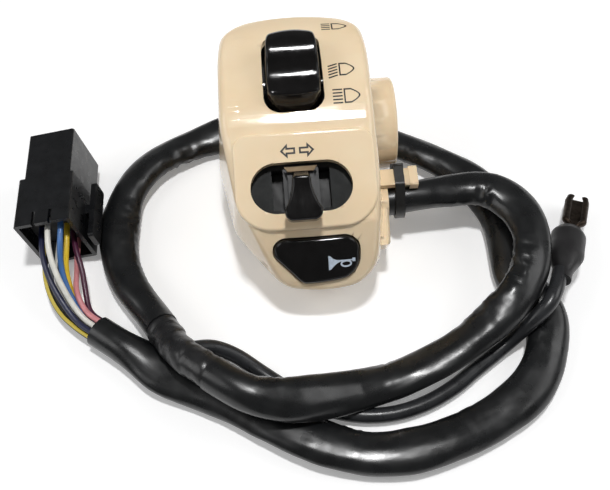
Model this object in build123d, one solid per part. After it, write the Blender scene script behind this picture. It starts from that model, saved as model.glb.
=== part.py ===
from build123d import *
import math
import os

# Handlebar switch cluster for a 22 mm bar, in millimetres.
# The pieces of the housing are drawn in the bar's own frame: X along the bar, Y up the housing,
# Z toward the rider, with the origin on the bar's axis. The whole then leans back on its heel,
# as it lies in the photograph, and the loom is routed on the table around it.

# Handlebar and the way the housing lies
bar_radius = 11.1
rest_tilt = 8.0

# Housing outline at the parting plane
body_left = 27.0
body_right = 28.0
body_top = 34.6
body_bottom = 61.8
waist_left_y = 14.0
cheek_left_x = 22.6
cheek_left_y = 38.5
chin_left_x = 13.8
chin_left_rise = 7.0
chin_corner_x = 9.8
waist_right_y = 27.0
waist_right_x = 27.3
chin_right_x = 24.2
top_left_round = 12.0
top_right_round = 10.0
waist_round = 38.0
cheek_round = 16.0
chin_round = 7.0
chin_right_round = 10.0
wall = 2.4
draft = 6.0
overlap = 6.0
edge_round = 2.8

# Rider's side in the upright section
crown_radius = 61.4
crown_centre_y = 1.0
crown_peak_z = 29.0
valley_y = 14.8
pad_slope = 18.3
horn_slope = 45.0
horn_face_rise = 7.6
horn_face_z = 8.3
brow_round = 5.0
valley_round = 7.0

# Raised pad round the turn switch
pad_left = 20.8
pad_right = 23.8
pad_near = 17.6
pad_far = 47.0
pad_raise = 1.15
pad_corner_near = 5.0
pad_corner_far = 10.5
pad_edge_round = 0.9

# Rear side
hump_radius = 15.8
upper_depth = 8.4
box_depth = 17.6
box_slope_share = 1.005
box_end_rise = 3.8
heel_round = 5.0
upper_round = 3.0
rear_lip_z = 7.0
rear_edge_round = 1.5
hump_start_y = 13.1
hump_end_y = 9.5
bulge_out = 28.9
bulge_near_y = 33.0
bulge_far_y = 48.0
bulge_top_z = 1.2
bulge_low_z = 13.6
bulge_round = 1.4

# Collar on the clutch side, ribs that carry the bar, and the tongue for the loom tie
collar_end = 33.8
collar_start = 23.4
collar_edge_round = 1.0
rib_x = 19.6
rib_thickness = 2.2
rib_low_y = 14.0
rib_high_y = 16.5
tongue_end = 39.5
tongue_stop_x = 36.6
tongue_near_y = 20.0
tongue_far_y = 26.0
tongue_thickness = 2.2
tongue_stop_extra = 0.7

# Two screws that clamp the halves round the bar
clamp_screw_places = [(16.0, 22.5), (-17.0, -20.0)]
clamp_screw_radius = 1.95
clamp_head_radius = 3.4
clamp_head_height = 2.7
clamp_socket_depth = 1.6
clamp_socket_radius = 1.5
clamp_seat_z = 4.0
clamp_reach = 13.0
clamp_boss_radius = 4.0
clamp_rear_boss_radius = 5.0
clamp_hole_gap = 0.05
clamp_free_gap = 0.3

# Dimmer rocker, turning about X
rocker_y = 4.4
rocker_z = 20.5
rocker_window_left = 9.8
rocker_window_right = 9.6
rocker_window_near = 11.2
rocker_window_far = 20.4
rocker_window_round = 5.5
rocker_half_width = 9.1
rocker_top_half_width = 8.1
rocker_top_end_y = 17.0
rocker_top_end_z = 34.9
rocker_crest_y = 10.5
rocker_crest_z = 37.3
rocker_brow_y = 4.0
rocker_brow_z = 35.9
rocker_valley_y = 3.2
rocker_valley_z = 32.9
rocker_lip_y = 8.0
rocker_lip_z = 33.6
rocker_shoulder_z = 26.5
rocker_far_shoulder_y = 18.7
rocker_near_shoulder_y = 10.1
rocker_skirt_far_y = 18.7
rocker_skirt_near_y = 10.2
rocker_wall = 1.6
rocker_roof = 2.6
rocker_edge_round = 1.1
rocker_boss_radius = 3.1
rocker_foot_half_x = 3.2
rocker_foot_half_y = 1.5
rocker_foot_drop = 3.6
pin_radius = 1.5
pin_fit = 0.02
pin_running_fit = 0.06

# Dimmer frame under the window
dimmer_frame_half_x = 11.7
dimmer_cavity_half_x = 9.9
dimmer_frame_near_y = 13.4
dimmer_frame_far_y = 22.1
dimmer_frame_wall = 1.5
dimmer_frame_low_z = 13.2
dimmer_frame_top_z = 22.1
dimmer_floor = 1.4
dimmer_board_thickness = 1.0
dimmer_board_gap = 0.6
dimmer_lug_half_x = 17.3
dimmer_lug_low_z = 17.4
dimmer_lug_thickness = 1.6
dimmer_lug_half_y = 2.8
dimmer_screw_x = 14.6
dimmer_screw_y = 3.0
dimmer_barrel_y = 2.6
dimmer_barrel_z = 17.8
dimmer_barrel_end_x = 15.4
small_screw_radius = 1.0
small_screw_head_radius = 2.0
small_screw_head_height = 1.3
small_screw_reach = 5.2
small_boss_radius = 2.7
contact_thickness = 0.5
contact_width = 2.6
rivet_radius = 0.9
rivet_height = 0.35

# Turn switch, sliding along X under the pad
turn_x = 0.1
turn_y = 34.4
bezel_half_length = 15.75
bezel_half_width = 7.85
bezel_gap = 0.2
bezel_proud = 0.3
bezel_plate = 1.4
bezel_flange_half_length = 18.6
bezel_flange_half_width = 8.7
bezel_flange_thickness = 1.5
slot_half_length = 7.5
slot_far_v = 4.95
slot_near_v = 6.95
slot_round = 1.6
turn_travel = 3.0
carriage_half_u = 5.6
carriage_half_v = 6.1
carriage_thickness = 2.6
carriage_neck_half_u = 4.2
carriage_neck_far_v = 4.5
carriage_neck_near_v = 4.6
shield_half_u = 5.2
shield_far_v = 6.3
shield_rise = 2.1
shield_lift = 0.7
shield_edge = 0.5
stem_half_u = 2.2
stem_near_v = 3.0
stem_far_v = 2.6
stem_length = 7.2
stem_fit = 0.3
knob_press = 1.5
knob_top_half_u = 2.9
knob_low_half_u = 5.75
knob_top_v = 4.1
knob_waist_v = 1.2
knob_low_v = 9.4
knob_low_side = 3.2
knob_low_round = 2.6
knob_top_round = 1.4
knob_bottom_w = 4.2
knob_top_w = 8.8
knob_edge_round = 0.9
turn_box_half_u = 14.2
turn_box_half_v = 7.6
turn_box_depth = 6.6
turn_box_wall = 1.3
turn_leg_half_u = 3.4
turn_leg_half_v = 1.6
turn_leg_v = 4.2
turn_leg_length = 3.6
turn_notch_depth = 1.2
turn_board_thickness = 0.9
turn_board_gap = 0.5
turn_screw_u = 16.5
turn_screw_v = 6.2
turn_wiper_v = 4.8
turn_screw_reach = 4.6
turn_barrel_length = 4.0
ball_radius = 1.2
barrel_wall = 0.9
barrel_fit = 0.12
spring_wire = 0.4
spring_turns = 4

# Horn button, pressed square to the chin face
horn_x = 3.5
horn_left = 14.6
horn_right = 14.4
horn_far_v = 8.05
horn_right_low_v = 6.7
horn_low_v = 8.2
horn_low_u = 6.1
horn_left_low_v = 1.2
horn_round_far_left = 5.0
horn_round_far_right = 6.0
horn_round_right = 6.5
horn_round_low = 4.0
horn_round_left = 2.5
horn_gap = 0.4
horn_travel = 1.8
horn_proud = 1.5
horn_crown_round = 1.3
horn_flange = 1.0
horn_flange_thickness = 1.6
horn_rest_gap = 0.3
horn_sleeve_radius = 3.7
horn_sleeve_bore = 2.9
horn_sleeve_drop = 2.0
horn_pocket_depth = 1.6
horn_base_depth = 8.6
horn_base_thickness = 1.4
horn_base_half_u = 12.0
horn_base_low_v = 4.6
horn_base_far_v = 6.4
horn_base_round = 2.0
horn_pin_radius = 1.6
horn_pin_height = 3.5
horn_post_places = [-9.0, 9.0]
horn_post_v = 4.0
horn_post_radius = 2.6
horn_peg_radius = 1.0
horn_peg_fit = 0.08
horn_contact_u = 7.4
horn_spring_radius = 2.25
horn_spring_wire = 0.5
horn_spring_length = 3.2
horn_spring_turns = 3

# Loom: outer sleeves, the taped joint, the single branch and the wires
sleeve_radius = 5.0
tape_radius = 4.2
branch_radius = 2.4
wire_radius = 0.95
exit_y = 28.0
exit_z = 6.2
exit_gap = 0.45
exit_spout_radius = 6.7
exit_spout_end = 29.2
exit_spout_start = 25.0
tie_x = 33.2
tie_width = 3.2
tie_thickness = 1.1
tie_gap = 0.4
tie_y = 27.4
tie_z = 5.9
tie_head_y = 4.4
tie_head_z = 3.0
tie_head_v = 18.9
tie_head_w = 0.9
run_share = 0.45

# Plug at the end of the loom
plug_x = -81.6
plug_y = -12.8
plug_lean = -10.0
plug_half_width = 9.75
plug_hood_half_width = 8.25
plug_height = 24.0
plug_hood_height = 22.6
plug_rear_length = 19.5
plug_hood_length = 19.5
plug_wall = 1.4
plug_edge_round = 0.8
plug_recess = 8.0
plug_hood_depth = 13.5
plug_slot_width = 1.2
plug_slot_length = 5.0
plug_slot_x = 2.9
plug_floor_gap = 0.05
plug_latch_thickness = 1.8
plug_latch_width = 7.0
plug_latch_length = 22.0
plug_latch_lift = 1.6
plug_latch_z = 9.0
plug_lift = 0.05
retainer_thickness = 3.0
retainer_gap = 0.15
pin_columns = 3
pin_rows = 4
pin_pitch_x = 4.6
pin_pitch_z = 4.8
pin_half_width = 0.95
pin_half_thickness = 0.4
pin_length = 9.0

# Boot and blade at the end of the branch
boot_start = (82.5, -57.5, 12.6)
boot_end = (89.6, -40.8, 8.2)
boot_small_radius = 2.9
boot_shoulder_radius = 4.9
boot_large_radius = 5.5
boot_shoulder_share = 0.32
boot_mouth_wall = 1.1
boot_mouth_depth = 6.0
boot_lip_round = 0.9
blade_tip = (98.6, -26.2, 4.4)
blade_half_width = 3.2
blade_half_thickness = 0.5
blade_barrel_radius = 2.3
blade_barrel_length = 6.5
blade_roll_radius = 1.35
blade_roll_start_share = 0.5

cut_overrun = 1.0
reach = 90.0

# Routes on the table, in the frame under the bar's axis
housing_sleeve_route = [
    (24.0, -27.0, 14.7), (34.0, -26.3, 15.2), (46.0, -24.6, 15.9), (56.0, -23.5, 16.1),
    (64.0, -24.6, 16.2), (69.8, -28.8, 16.3), (73.6, -35.0, 16.3), (75.1, -42.6, 16.2),
    (74.4, -50.6, 16.2), (71.8, -58.6, 16.2), (67.2, -65.6, 16.0), (60.8, -71.6, 14.6),
    (52.0, -77.2, 10.6), (41.0, -82.6, 6.6), (27.0, -87.8, 5.2), (13.0, -91.2, 6.8),
    (1.0, -94.4, 11.4), (-9.0, -96.6, 15.4), (-18.6, -95.0, 16.4), (-26.0, -90.6, 16.2),
    (-31.4, -86.2, 15.8),
]
joint_route = [
    (-31.4, -86.2, 15.8), (-36.8, -81.8, 15.4), (-41.8, -76.8, 13.6), (-45.2, -70.5, 10.0),
    (-48.2, -65.2, 8.0),
]
plug_sleeve_route = [
    (-48.2, -65.2, 8.0), (-51.5, -59.4, 5.8), (-57.4, -51.0, 5.2), (-62.0, -42.2, 5.1),
    (-64.6, -31.5, 5.1), (-65.0, -19.5, 5.1), (-62.8, -8.6, 5.1), (-57.6, 1.0, 5.1),
    (-49.0, 8.6, 5.1), (-37.0, 14.4, 5.1), (-22.0, 18.2, 5.1), (-5.0, 19.6, 5.1),
    (12.0, 17.2, 5.1), (27.0, 11.8, 5.1), (40.0, 5.0, 5.1), (50.6, -1.8, 5.1),
    (59.0, -9.2, 5.1), (64.8, -17.2, 5.1), (67.8, -26.6, 5.1), (69.0, -37.0, 5.1),
    (69.2, -46.6, 5.1), (69.6, -54.2, 5.1), (72.6, -60.8, 5.1), (76.4, -66.6, 5.1),
    (76.8, -74.0, 5.1), (74.4, -82.0, 5.1), (70.4, -90.0, 5.1), (63.8, -97.0, 5.1),
    (54.4, -102.8, 5.1), (43.0, -107.6, 5.1), (31.0, -110.9, 5.1), (19.4, -112.0, 5.1),
    (8.0, -109.8, 5.1), (-5.0, -104.0, 5.1), (-25.0, -92.8, 5.1), (-50.0, -77.4, 5.1),
    (-62.6, -68.6, 5.1), (-69.6, -63.0, 5.1),
]
branch_route = [
    (-41.0, -77.6, 14.4), (-34.0, -74.6, 12.6), (-25.4, -76.4, 8.6), (-17.4, -81.6, 4.4),
    (-9.0, -87.8, 2.6), (0.0, -93.8, 2.5), (10.5, -98.0, 2.5), (22.0, -98.8, 2.5),
    (33.0, -96.4, 2.5), (43.2, -91.4, 2.5), (50.4, -86.0, 2.5), (57.2, -81.4, 2.5),
    (62.4, -78.0, 3.4), (66.8, -75.6, 6.6), (70.8, -73.6, 10.8), (75.2, -71.0, 13.9),
    (78.0, -67.2, 14.8), (80.4, -62.4, 13.9), (82.5, -57.5, 12.6),
]

# The ten wires between the plug and the mouth of its sleeve
wire_routes = {
    "white": [
        (-84.9, -27.4, 20.6), (-85.0, -35.0, 20.2), (-83.4, -43.1, 16.6), (-79.9, -51.0, 11.8),
        (-75.1, -58.6, 7.3), (-69.7, -62.9, 7.3),
    ],
    "blue": [
        (-80.4, -27.6, 21.4), (-80.7, -34.6, 20.0), (-81.4, -42.7, 14.0), (-79.0, -50.6, 8.9),
        (-74.4, -57.7, 5.1), (-69.0, -62.0, 5.1),
    ],
    "yellow": [
        (-79.6, -27.4, 16.7), (-79.6, -34.2, 15.6), (-80.7, -42.5, 10.2), (-78.4, -50.3, 5.4),
        (-73.7, -56.9, 2.9), (-68.3, -61.2, 2.9),
    ],
    "purple": [
        (-78.7, -27.4, 12.0), (-77.8, -34.0, 11.8), (-75.2, -41.4, 9.6), (-74.4, -48.8, 6.6),
        (-73.0, -55.9, 5.1), (-67.6, -60.2, 5.1),
    ],
    "pink": [
        (-77.9, -27.4, 7.3), (-78.0, -34.0, 7.4), (-77.6, -41.7, 7.4), (-77.1, -49.6, 9.3),
        (-73.7, -56.9, 7.3), (-68.3, -61.2, 7.3),
    ],
    "offwhite": [
        (-82.4, -27.4, 6.5), (-82.4, -34.6, 6.5), (-82.4, -42.9, 5.4), (-80.2, -51.3, 3.9),
        (-75.1, -58.6, 2.9), (-69.7, -62.9, 2.9),
    ],
    "black_pale": [
        (-83.3, -27.4, 11.2), (-83.4, -34.8, 11.2), (-84.0, -43.3, 9.4), (-81.1, -51.7, 7.2),
        (-75.8, -59.5, 5.1), (-70.4, -63.8, 5.1),
    ],
    "navy": [
        (-88.6, -27.4, 15.1), (-88.2, -35.2, 15.0), (-86.3, -43.8, 13.2), (-82.1, -52.2, 10.4),
        (-76.5, -60.3, 7.3), (-71.1, -64.6, 7.3),
    ],
    "black_yellow": [
        (-87.8, -27.4, 10.4), (-88.4, -36.2, 9.8), (-87.2, -46.6, 7.8), (-83.0, -55.4, 5.8),
        (-77.2, -61.3, 5.1), (-71.8, -65.6, 5.1),
    ],
    "grey": [
        (-87.0, -27.4, 5.7), (-87.6, -36.4, 5.0), (-86.6, -46.4, 3.6), (-82.6, -54.6, 2.9),
        (-76.5, -60.3, 2.9), (-71.1, -64.6, 2.9),
    ],
}


def tilt_turn():
    """The housing's lean on the table."""
    return Rot(rest_tilt, 0, 0)


def box_end_y():
    """Where the loom box's floor ends, near the heel."""
    return body_bottom - box_end_rise


def horn_face_y():
    """Middle of the horn button along the housing."""
    return body_bottom - horn_face_rise


def hump_end_z():
    """Level where the hump round the bar gives way to the loom box."""
    return -math.sqrt(hump_radius ** 2 - hump_end_y ** 2)


def box_start_y():
    """Where the loom box's floor starts, down a slope from the hump."""
    return hump_end_y + box_slope_share * (box_depth + hump_end_z())


def axis_height():
    """Height of the bar's axis when the heel of the rear box touches the table."""
    lean = math.radians(rest_tilt)
    heel_y = box_end_y() - heel_round
    heel_z = box_depth - heel_round
    return heel_y * math.sin(lean) + heel_z * math.cos(lean) + heel_round


def pad_plane():
    """Plane on top of the pad, at the middle of the turn switch."""
    slope = math.radians(pad_slope)
    base_z = valley_z() - (turn_y - valley_y) * math.tan(slope)
    up = Vector(0, -math.sin(slope), math.cos(slope))
    origin = Vector(turn_x, -turn_y, base_z) + up * pad_raise
    return Plane(origin=origin, x_dir=(1, 0, 0), z_dir=up)


def horn_plane():
    """Plane of the chin face, at the middle of the horn button."""
    slope = math.radians(horn_slope)
    up = (0, -math.sin(slope), math.cos(slope))
    return Plane(origin=(horn_x, -horn_face_y(), horn_face_z), x_dir=(1, 0, 0), z_dir=up)


def crown_z(y):
    """Height of the crowned top surface at a place along Y."""
    offset = y - crown_centre_y
    centre_z = crown_peak_z - crown_radius
    return centre_z + math.sqrt(crown_radius ** 2 - offset ** 2)


def valley_z():
    """Height where the crown meets the slope of the pad."""
    return crown_z(-valley_y)


def rounded_outline(corners):
    """Closed outline from corners given as (x, y, radius)."""
    points = [(x, y) for x, y, radius in corners]
    radii = [radius for x, y, radius in corners]
    return make_face(FilletPolyline(*points, radius=radii, close=True))


def parting_outline(inset):
    """Housing outline on the parting plane, drawn in by the inset, or out where it is negative."""
    corners = [
        (-body_left, body_top, top_left_round),
        (-body_left, -waist_left_y, waist_round),
        (-cheek_left_x, -cheek_left_y, cheek_round),
        (-chin_left_x, chin_left_rise - body_bottom, cheek_round),
        (-chin_corner_x, -body_bottom, chin_round),
        (chin_right_x, -body_bottom, chin_right_round),
        (waist_right_x, -waist_right_y, waist_round),
        (body_right, body_top, top_right_round),
    ]
    face = rounded_outline(corners)
    if inset != 0:
        face = offset(face, amount=-inset)
    return face


def drafted_column(inset, height, side):
    """Drafted walls of one side, run on past the parting plane by the overlap."""
    spread = overlap * math.tan(math.radians(draft))
    face = Pos(0, 0, -side * overlap) * parting_outline(inset - spread)
    return extrude(face, amount=height + overlap, taper=draft, dir=(0, 0, side))


def upright_prism(face):
    """Prism along X from a face drawn in the upright section."""
    return extrude(Plane.YZ * face, amount=reach, both=True)


def rider_section(inset):
    """Upright section of the rider's side, run on past the outline and the parting plane."""
    slope = math.radians(pad_slope)
    chin = math.radians(horn_slope)
    brow_gap = valley_z() + math.tan(slope) * valley_y - horn_face_z - math.tan(chin) * horn_face_y()
    brow_y = brow_gap / (math.tan(chin) - math.tan(slope))
    brow_z = valley_z() + (brow_y + valley_y) * math.tan(slope)
    far_y = body_top + overlap
    near_y = body_bottom + overlap
    chin_z = horn_face_z + (horn_face_y() - near_y) * math.tan(chin)
    top_z = crown_z(far_y)
    crown = ThreePointArc((far_y, top_z), (crown_centre_y, crown_peak_z), (-valley_y, valley_z()))
    sides = Polyline(
        (-valley_y, valley_z()), (brow_y, brow_z), (-near_y, chin_z),
        (-near_y, -overlap * 2), (far_y, -overlap * 2), (far_y, top_z),
    )
    face = make_face(crown + sides)
    face = fillet(face.vertices().sort_by_distance((brow_y, brow_z))[0], radius=brow_round)
    face = fillet(face.vertices().sort_by_distance((-valley_y, valley_z()))[0], radius=valley_round)
    if inset > 0:
        face = offset(face, amount=-inset)
    return face


def rider_form(inset):
    """Walls and upright section of the rider's side, which meet in its form."""
    column = drafted_column(inset, crown_peak_z, 1)
    section = upright_prism(rider_section(inset))
    return column, section


def inner_room(inset):
    """Room inside the rider's side, for trimming what must clear the shell."""
    column, section = rider_form(inset)
    return column & section


def rider_outside():
    """Outer form of the rider's side, with its rounded shoulder and the pad."""
    column, section = rider_form(0)
    body = column & section
    rim = new_edges(column, section, combined=body).filter_by(lambda edge: edge.center().Z > -overlap)
    body = fillet(rim, radius=edge_round)
    return (body + pad_block()) & half_space(True)


def pad_block():
    """Raised pad on the slope."""
    plane = pad_plane()
    lean = math.cos(math.radians(pad_slope))
    far_v = (turn_y - pad_near) / lean
    near_v = (turn_y - pad_far) / lean
    corners = [
        (-pad_left - turn_x, far_v, pad_corner_near),
        (-pad_left - turn_x, near_v, pad_corner_far),
        (pad_right - turn_x, near_v, pad_corner_far),
        (pad_right - turn_x, far_v, pad_corner_near),
    ]
    block = extrude(rounded_outline(corners), amount=-(pad_raise + wall))
    block = fillet(block.faces().sort_by(Axis.Z)[-1].edges(), radius=pad_edge_round)
    return plane * block


def bar_space():
    """The bar itself, as the space that the housing leaves for it."""
    return Rot(0, 90, 0) * Cylinder(radius=bar_radius, height=reach * 2)


def collar_ring():
    """Neck round the bar on the clutch side."""
    length = collar_end - collar_start
    middle = (collar_end + collar_start) / 2
    ring = Cylinder(radius=hump_radius, height=length)
    ring = fillet(ring.edges().sort_by(Axis.Z)[-1], radius=collar_edge_round)
    return Pos(middle, 0, 0) * Rot(0, 90, 0) * ring


def group(pieces):
    """Several separate solids in one node."""
    joined = pieces[0]
    for piece in pieces[1:]:
        joined = joined + piece
    return joined


def half_space(above):
    """Block that fills one side of the parting plane."""
    side = 1 if above else -1
    return Pos(0, 0, side * reach / 2) * Box(reach * 4, reach * 4, reach)


def rib_slabs(low, high):
    """Two cross ribs that saddle the bar, between two heights."""
    middle_y = (rib_high_y - rib_low_y) / 2
    slab = Box(rib_thickness, rib_high_y + rib_low_y, high - low)
    places = [Pos(side * rib_x, middle_y, (low + high) / 2) for side in (-1, 1)]
    return [place * slab for place in places]


def pillar(x, y, low, high, radius):
    """Upright round boss between two heights."""
    return Pos(x, y, (low + high) / 2) * Cylinder(radius=radius, height=high - low)


def rocker_window():
    """Opening for the dimmer rocker."""
    corners = [
        (-rocker_window_left, rocker_window_far, rocker_window_round),
        (-rocker_window_left, -rocker_window_near, rocker_window_round),
        (rocker_window_right, -rocker_window_near, rocker_window_round),
        (rocker_window_right, rocker_window_far, rocker_window_round),
    ]
    low = dimmer_frame_top_z
    return extrude(Pos(0, 0, low) * rounded_outline(corners), amount=crown_peak_z)


def stadium(half_length, half_width):
    """Flat oval with round ends."""
    return SlotOverall(width=half_length * 2, height=half_width * 2)


def horn_outline(grow):
    """Outline of the horn opening, grown or drawn in."""
    corners = [
        (-horn_left, horn_far_v, horn_round_far_left),
        (-horn_left, horn_left_low_v, horn_round_left),
        (-horn_low_u, -horn_low_v, horn_round_low),
        (horn_right, -horn_right_low_v, horn_round_right),
        (horn_right, horn_far_v, horn_round_far_right),
    ]
    face = rounded_outline(corners)
    if grow != 0:
        face = offset(face, amount=grow)
    return face


def front_bosses():
    """Bosses that hang from the roof of the front shell."""
    roof = crown_peak_z
    bosses = [pillar(x, y, 0, roof, clamp_boss_radius) for x, y in clamp_screw_places]
    low = dimmer_lug_low_z + dimmer_lug_thickness
    for side in (-1, 1):
        bosses.append(pillar(side * dimmer_screw_x, dimmer_screw_y, low, roof, small_boss_radius))
    return bosses


def front_screw_holes():
    """Pilot holes for the clamp, dimmer and turn switch screws."""
    radius = clamp_screw_radius + clamp_hole_gap
    holes = [
        pillar(x, y, -cut_overrun, clamp_reach + cut_overrun, radius) for x, y in clamp_screw_places
    ]
    radius = small_screw_radius + clamp_hole_gap
    low = dimmer_lug_low_z
    for side in (-1, 1):
        top = low + small_screw_reach + clamp_free_gap
        holes.append(pillar(side * dimmer_screw_x, dimmer_screw_y, low, top, radius))
    for side in (-1, 1):
        top = turn_screw_top() + clamp_free_gap
        hole = pillar(side * turn_screw_u, turn_screw_v, -bezel_depth() * 2, top, radius)
        holes.append(pad_plane() * hole)
    return holes


def bezel_depth():
    """Depth of the bezel's plug, from the pad's top to the shell's inner face."""
    return pad_raise + wall


def turn_screw_top():
    """Where the turn switch screws end, under the pad's top."""
    return turn_screw_seat() + turn_screw_reach


def turn_screw_seat():
    """Level of the screw heads, under the lugs of the turn switch box."""
    return -bezel_depth() - bezel_flange_thickness - turn_box_wall - clamp_hole_gap


def tongue():
    """Flat tongue beside the collar that the loom is tied to."""
    start = collar_start + wall
    plate = Pos((start + tongue_end) / 2, -(tongue_near_y + tongue_far_y) / 2, tongue_thickness / 2)
    plate = plate * Box(tongue_end - start, tongue_far_y - tongue_near_y, tongue_thickness)
    stop = Pos((tongue_stop_x + tongue_end) / 2, -(tongue_near_y + tongue_far_y) / 2, tongue_thickness / 2)
    stop = stop * Box(
        tongue_end - tongue_stop_x,
        tongue_far_y - tongue_near_y + tongue_stop_extra * 2,
        tongue_thickness + tongue_stop_extra * 2,
    )
    stop = fillet(stop.edges().filter_by(Axis.X), radius=tongue_stop_extra)
    return plate + stop


def make_front_shell():
    """Moulded front half: shoulder, pad, chin, three openings, ribs and bosses."""
    outside = rider_outside()
    column, section = rider_form(wall)
    inside = column & section
    column, section = rider_form(wall / 2)
    core = column & section
    shell = outside - inside
    for piece in rib_slabs(0, crown_peak_z) + front_bosses():
        shell = shell + (piece & core)
    shell = shell + (collar_ring() & half_space(True))
    shell = shell + tongue()
    shell = shell - bar_space()
    shell = shell - rocker_window()
    window = extrude(stadium(bezel_half_length + bezel_gap, bezel_half_width + bezel_gap),
                     amount=bezel_depth() * 2, both=True)
    shell = shell - pad_plane() * window
    shell = shell - horn_plane() * extrude(horn_outline(0), amount=wall * 2, both=True)
    for hole in front_screw_holes():
        shell = shell - hole
    return shell


def rear_section(inset):
    """Upright section of the rear side: shallow end, hump round the bar and the loom box."""
    start_z = -math.sqrt(hump_radius ** 2 - hump_start_y ** 2)
    end_z = hump_end_z()
    far_y = body_top + overlap
    rise = overlap * 2
    lean = box_end_rise / (box_depth - rear_lip_z)
    near_y = body_bottom + (rear_lip_z + rise) * lean
    hump = ThreePointArc((hump_start_y, start_z), (0, -hump_radius), (-hump_end_y, end_z))
    box_side = Polyline(
        (-hump_end_y, end_z), (-box_start_y(), -box_depth), (-box_end_y(), -box_depth),
        (-near_y, rise), (far_y, rise), (far_y, -upper_depth), (hump_start_y, start_z),
    )
    face = make_face(hump + box_side)
    corners = [
        (-box_end_y(), -box_depth, heel_round), (-box_start_y(), -box_depth, upper_round),
        (hump_start_y, start_z, upper_round),
    ]
    for y, z, radius in corners:
        face = fillet(face.vertices().sort_by_distance((y, z))[0], radius=radius)
    if inset > 0:
        face = offset(face, amount=-inset)
    return face


def rear_form(inset):
    """Walls and upright section of the rear side, which meet in its form."""
    column = drafted_column(inset, box_depth + cut_overrun, -1)
    section = upright_prism(rear_section(inset))
    return column, section


def bulge():
    """Low swelling on the clutch side of the loom box."""
    width = bulge_out - (body_right - wall)
    middle = (bulge_out + body_right - wall) / 2
    block = Box(width, bulge_far_y - bulge_near_y, bulge_low_z - bulge_top_z)
    block = fillet(block.faces().sort_by(Axis.X)[-1].edges(), radius=bulge_round)
    return Pos(middle, -(bulge_far_y + bulge_near_y) / 2, -(bulge_low_z + bulge_top_z) / 2) * block


def exit_cylinder(radius, start, end):
    """Round space or spout along X where the loom leaves."""
    tube = Rot(0, 90, 0) * Cylinder(radius=radius, height=end - start)
    return Pos((start + end) / 2, -exit_y, -exit_z) * tube


def horn_posts():
    """Posts from the rear floor, cut to the slope of the horn's base plate."""
    under = horn_plane() * Pos(0, 0, -horn_base_depth - horn_base_thickness)
    seat = under * Pos(0, 0, -reach / 2) * Box(reach * 2, reach * 2, reach)
    pieces = []
    for u in horn_post_places:
        foot = (under * Pos(u, horn_post_v, 0)).position
        post = pillar(foot.X, foot.Y, -box_depth + wall / 2, foot.Z + horn_post_radius * 2, horn_post_radius)
        peg_height = horn_base_thickness * 2
        peg = Pos(u, horn_post_v, 0) * Cylinder(radius=horn_peg_radius, height=peg_height)
        pieces.append(post & seat)
        pieces.append(under * peg)
    return pieces


def make_rear_shell():
    """Moulded rear half: hump, loom box, collar half, screw bosses and loom exit."""
    column, section = rear_form(0)
    body = column & section
    rim = new_edges(column, section, combined=body).filter_by(lambda edge: edge.center().Z < overlap)
    body = fillet(rim, radius=rear_edge_round) & half_space(False)
    column, section = rear_form(wall)
    inside = column & section
    column, section = rear_form(wall / 2)
    core = column & section
    shell = body - inside
    bosses = [pillar(x, y, -box_depth, 0, clamp_rear_boss_radius) for x, y in clamp_screw_places]
    for piece in rib_slabs(-box_depth, 0) + bosses:
        shell = shell + (piece & core)
    shell = shell + (collar_ring() & half_space(False))
    shell = shell + bulge()
    shell = shell + (exit_cylinder(exit_spout_radius, exit_spout_start, exit_spout_end) & half_space(False))
    for piece in horn_posts():
        shell = shell + piece
    shell = shell - bar_space()
    loom_way = exit_cylinder(sleeve_radius + exit_gap, exit_spout_start - wall * 3, exit_spout_end + wall)
    shell = shell - loom_way
    for x, y in clamp_screw_places:
        shell = shell - pillar(x, y, -reach, cut_overrun, clamp_screw_radius + clamp_free_gap)
        shell = shell - pillar(x, y, -reach, -clamp_seat_z, clamp_head_radius + clamp_free_gap)
    return shell


def make_clamp_screws():
    """Two socket screws that draw the halves together."""
    screws = []
    for x, y in clamp_screw_places:
        shank = pillar(x, y, -clamp_seat_z, clamp_reach, clamp_screw_radius)
        head = pillar(x, y, -clamp_seat_z - clamp_head_height, -clamp_seat_z, clamp_head_radius)
        bottom = -clamp_seat_z - clamp_head_height
        socket = Pos(x, y, bottom) * extrude(RegularPolygon(radius=clamp_socket_radius, side_count=6),
                                             amount=clamp_socket_depth)
        screws.append(shank + head - socket)
    return group(screws)


def rocker_section():
    """Upright section of the rocker: raised far end, hollow and lip."""
    crest = ThreePointArc(
        (rocker_top_end_y, rocker_top_end_z), (rocker_crest_y, rocker_crest_z), (rocker_brow_y, rocker_brow_z)
    )
    hollow = ThreePointArc(
        (rocker_brow_y, rocker_brow_z), (-rocker_valley_y, rocker_valley_z), (-rocker_lip_y, rocker_lip_z)
    )
    sides = Polyline(
        (-rocker_lip_y, rocker_lip_z), (-rocker_near_shoulder_y, rocker_shoulder_z),
        (-rocker_skirt_near_y, rocker_z), (rocker_skirt_far_y, rocker_z),
        (rocker_far_shoulder_y, rocker_shoulder_z), (rocker_top_end_y, rocker_top_end_z),
    )
    return make_face(crest + hollow + sides)


def rocker_plan():
    """Round-cornered column that the rocker stands in."""
    corners = [
        (-rocker_half_width, rocker_skirt_far_y, rocker_window_round),
        (-rocker_half_width, -rocker_skirt_near_y, rocker_window_round),
        (rocker_half_width, -rocker_skirt_near_y, rocker_window_round),
        (rocker_half_width, rocker_skirt_far_y, rocker_window_round),
    ]
    return extrude(Pos(0, 0, rocker_z) * rounded_outline(corners), amount=rocker_crest_z)


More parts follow.
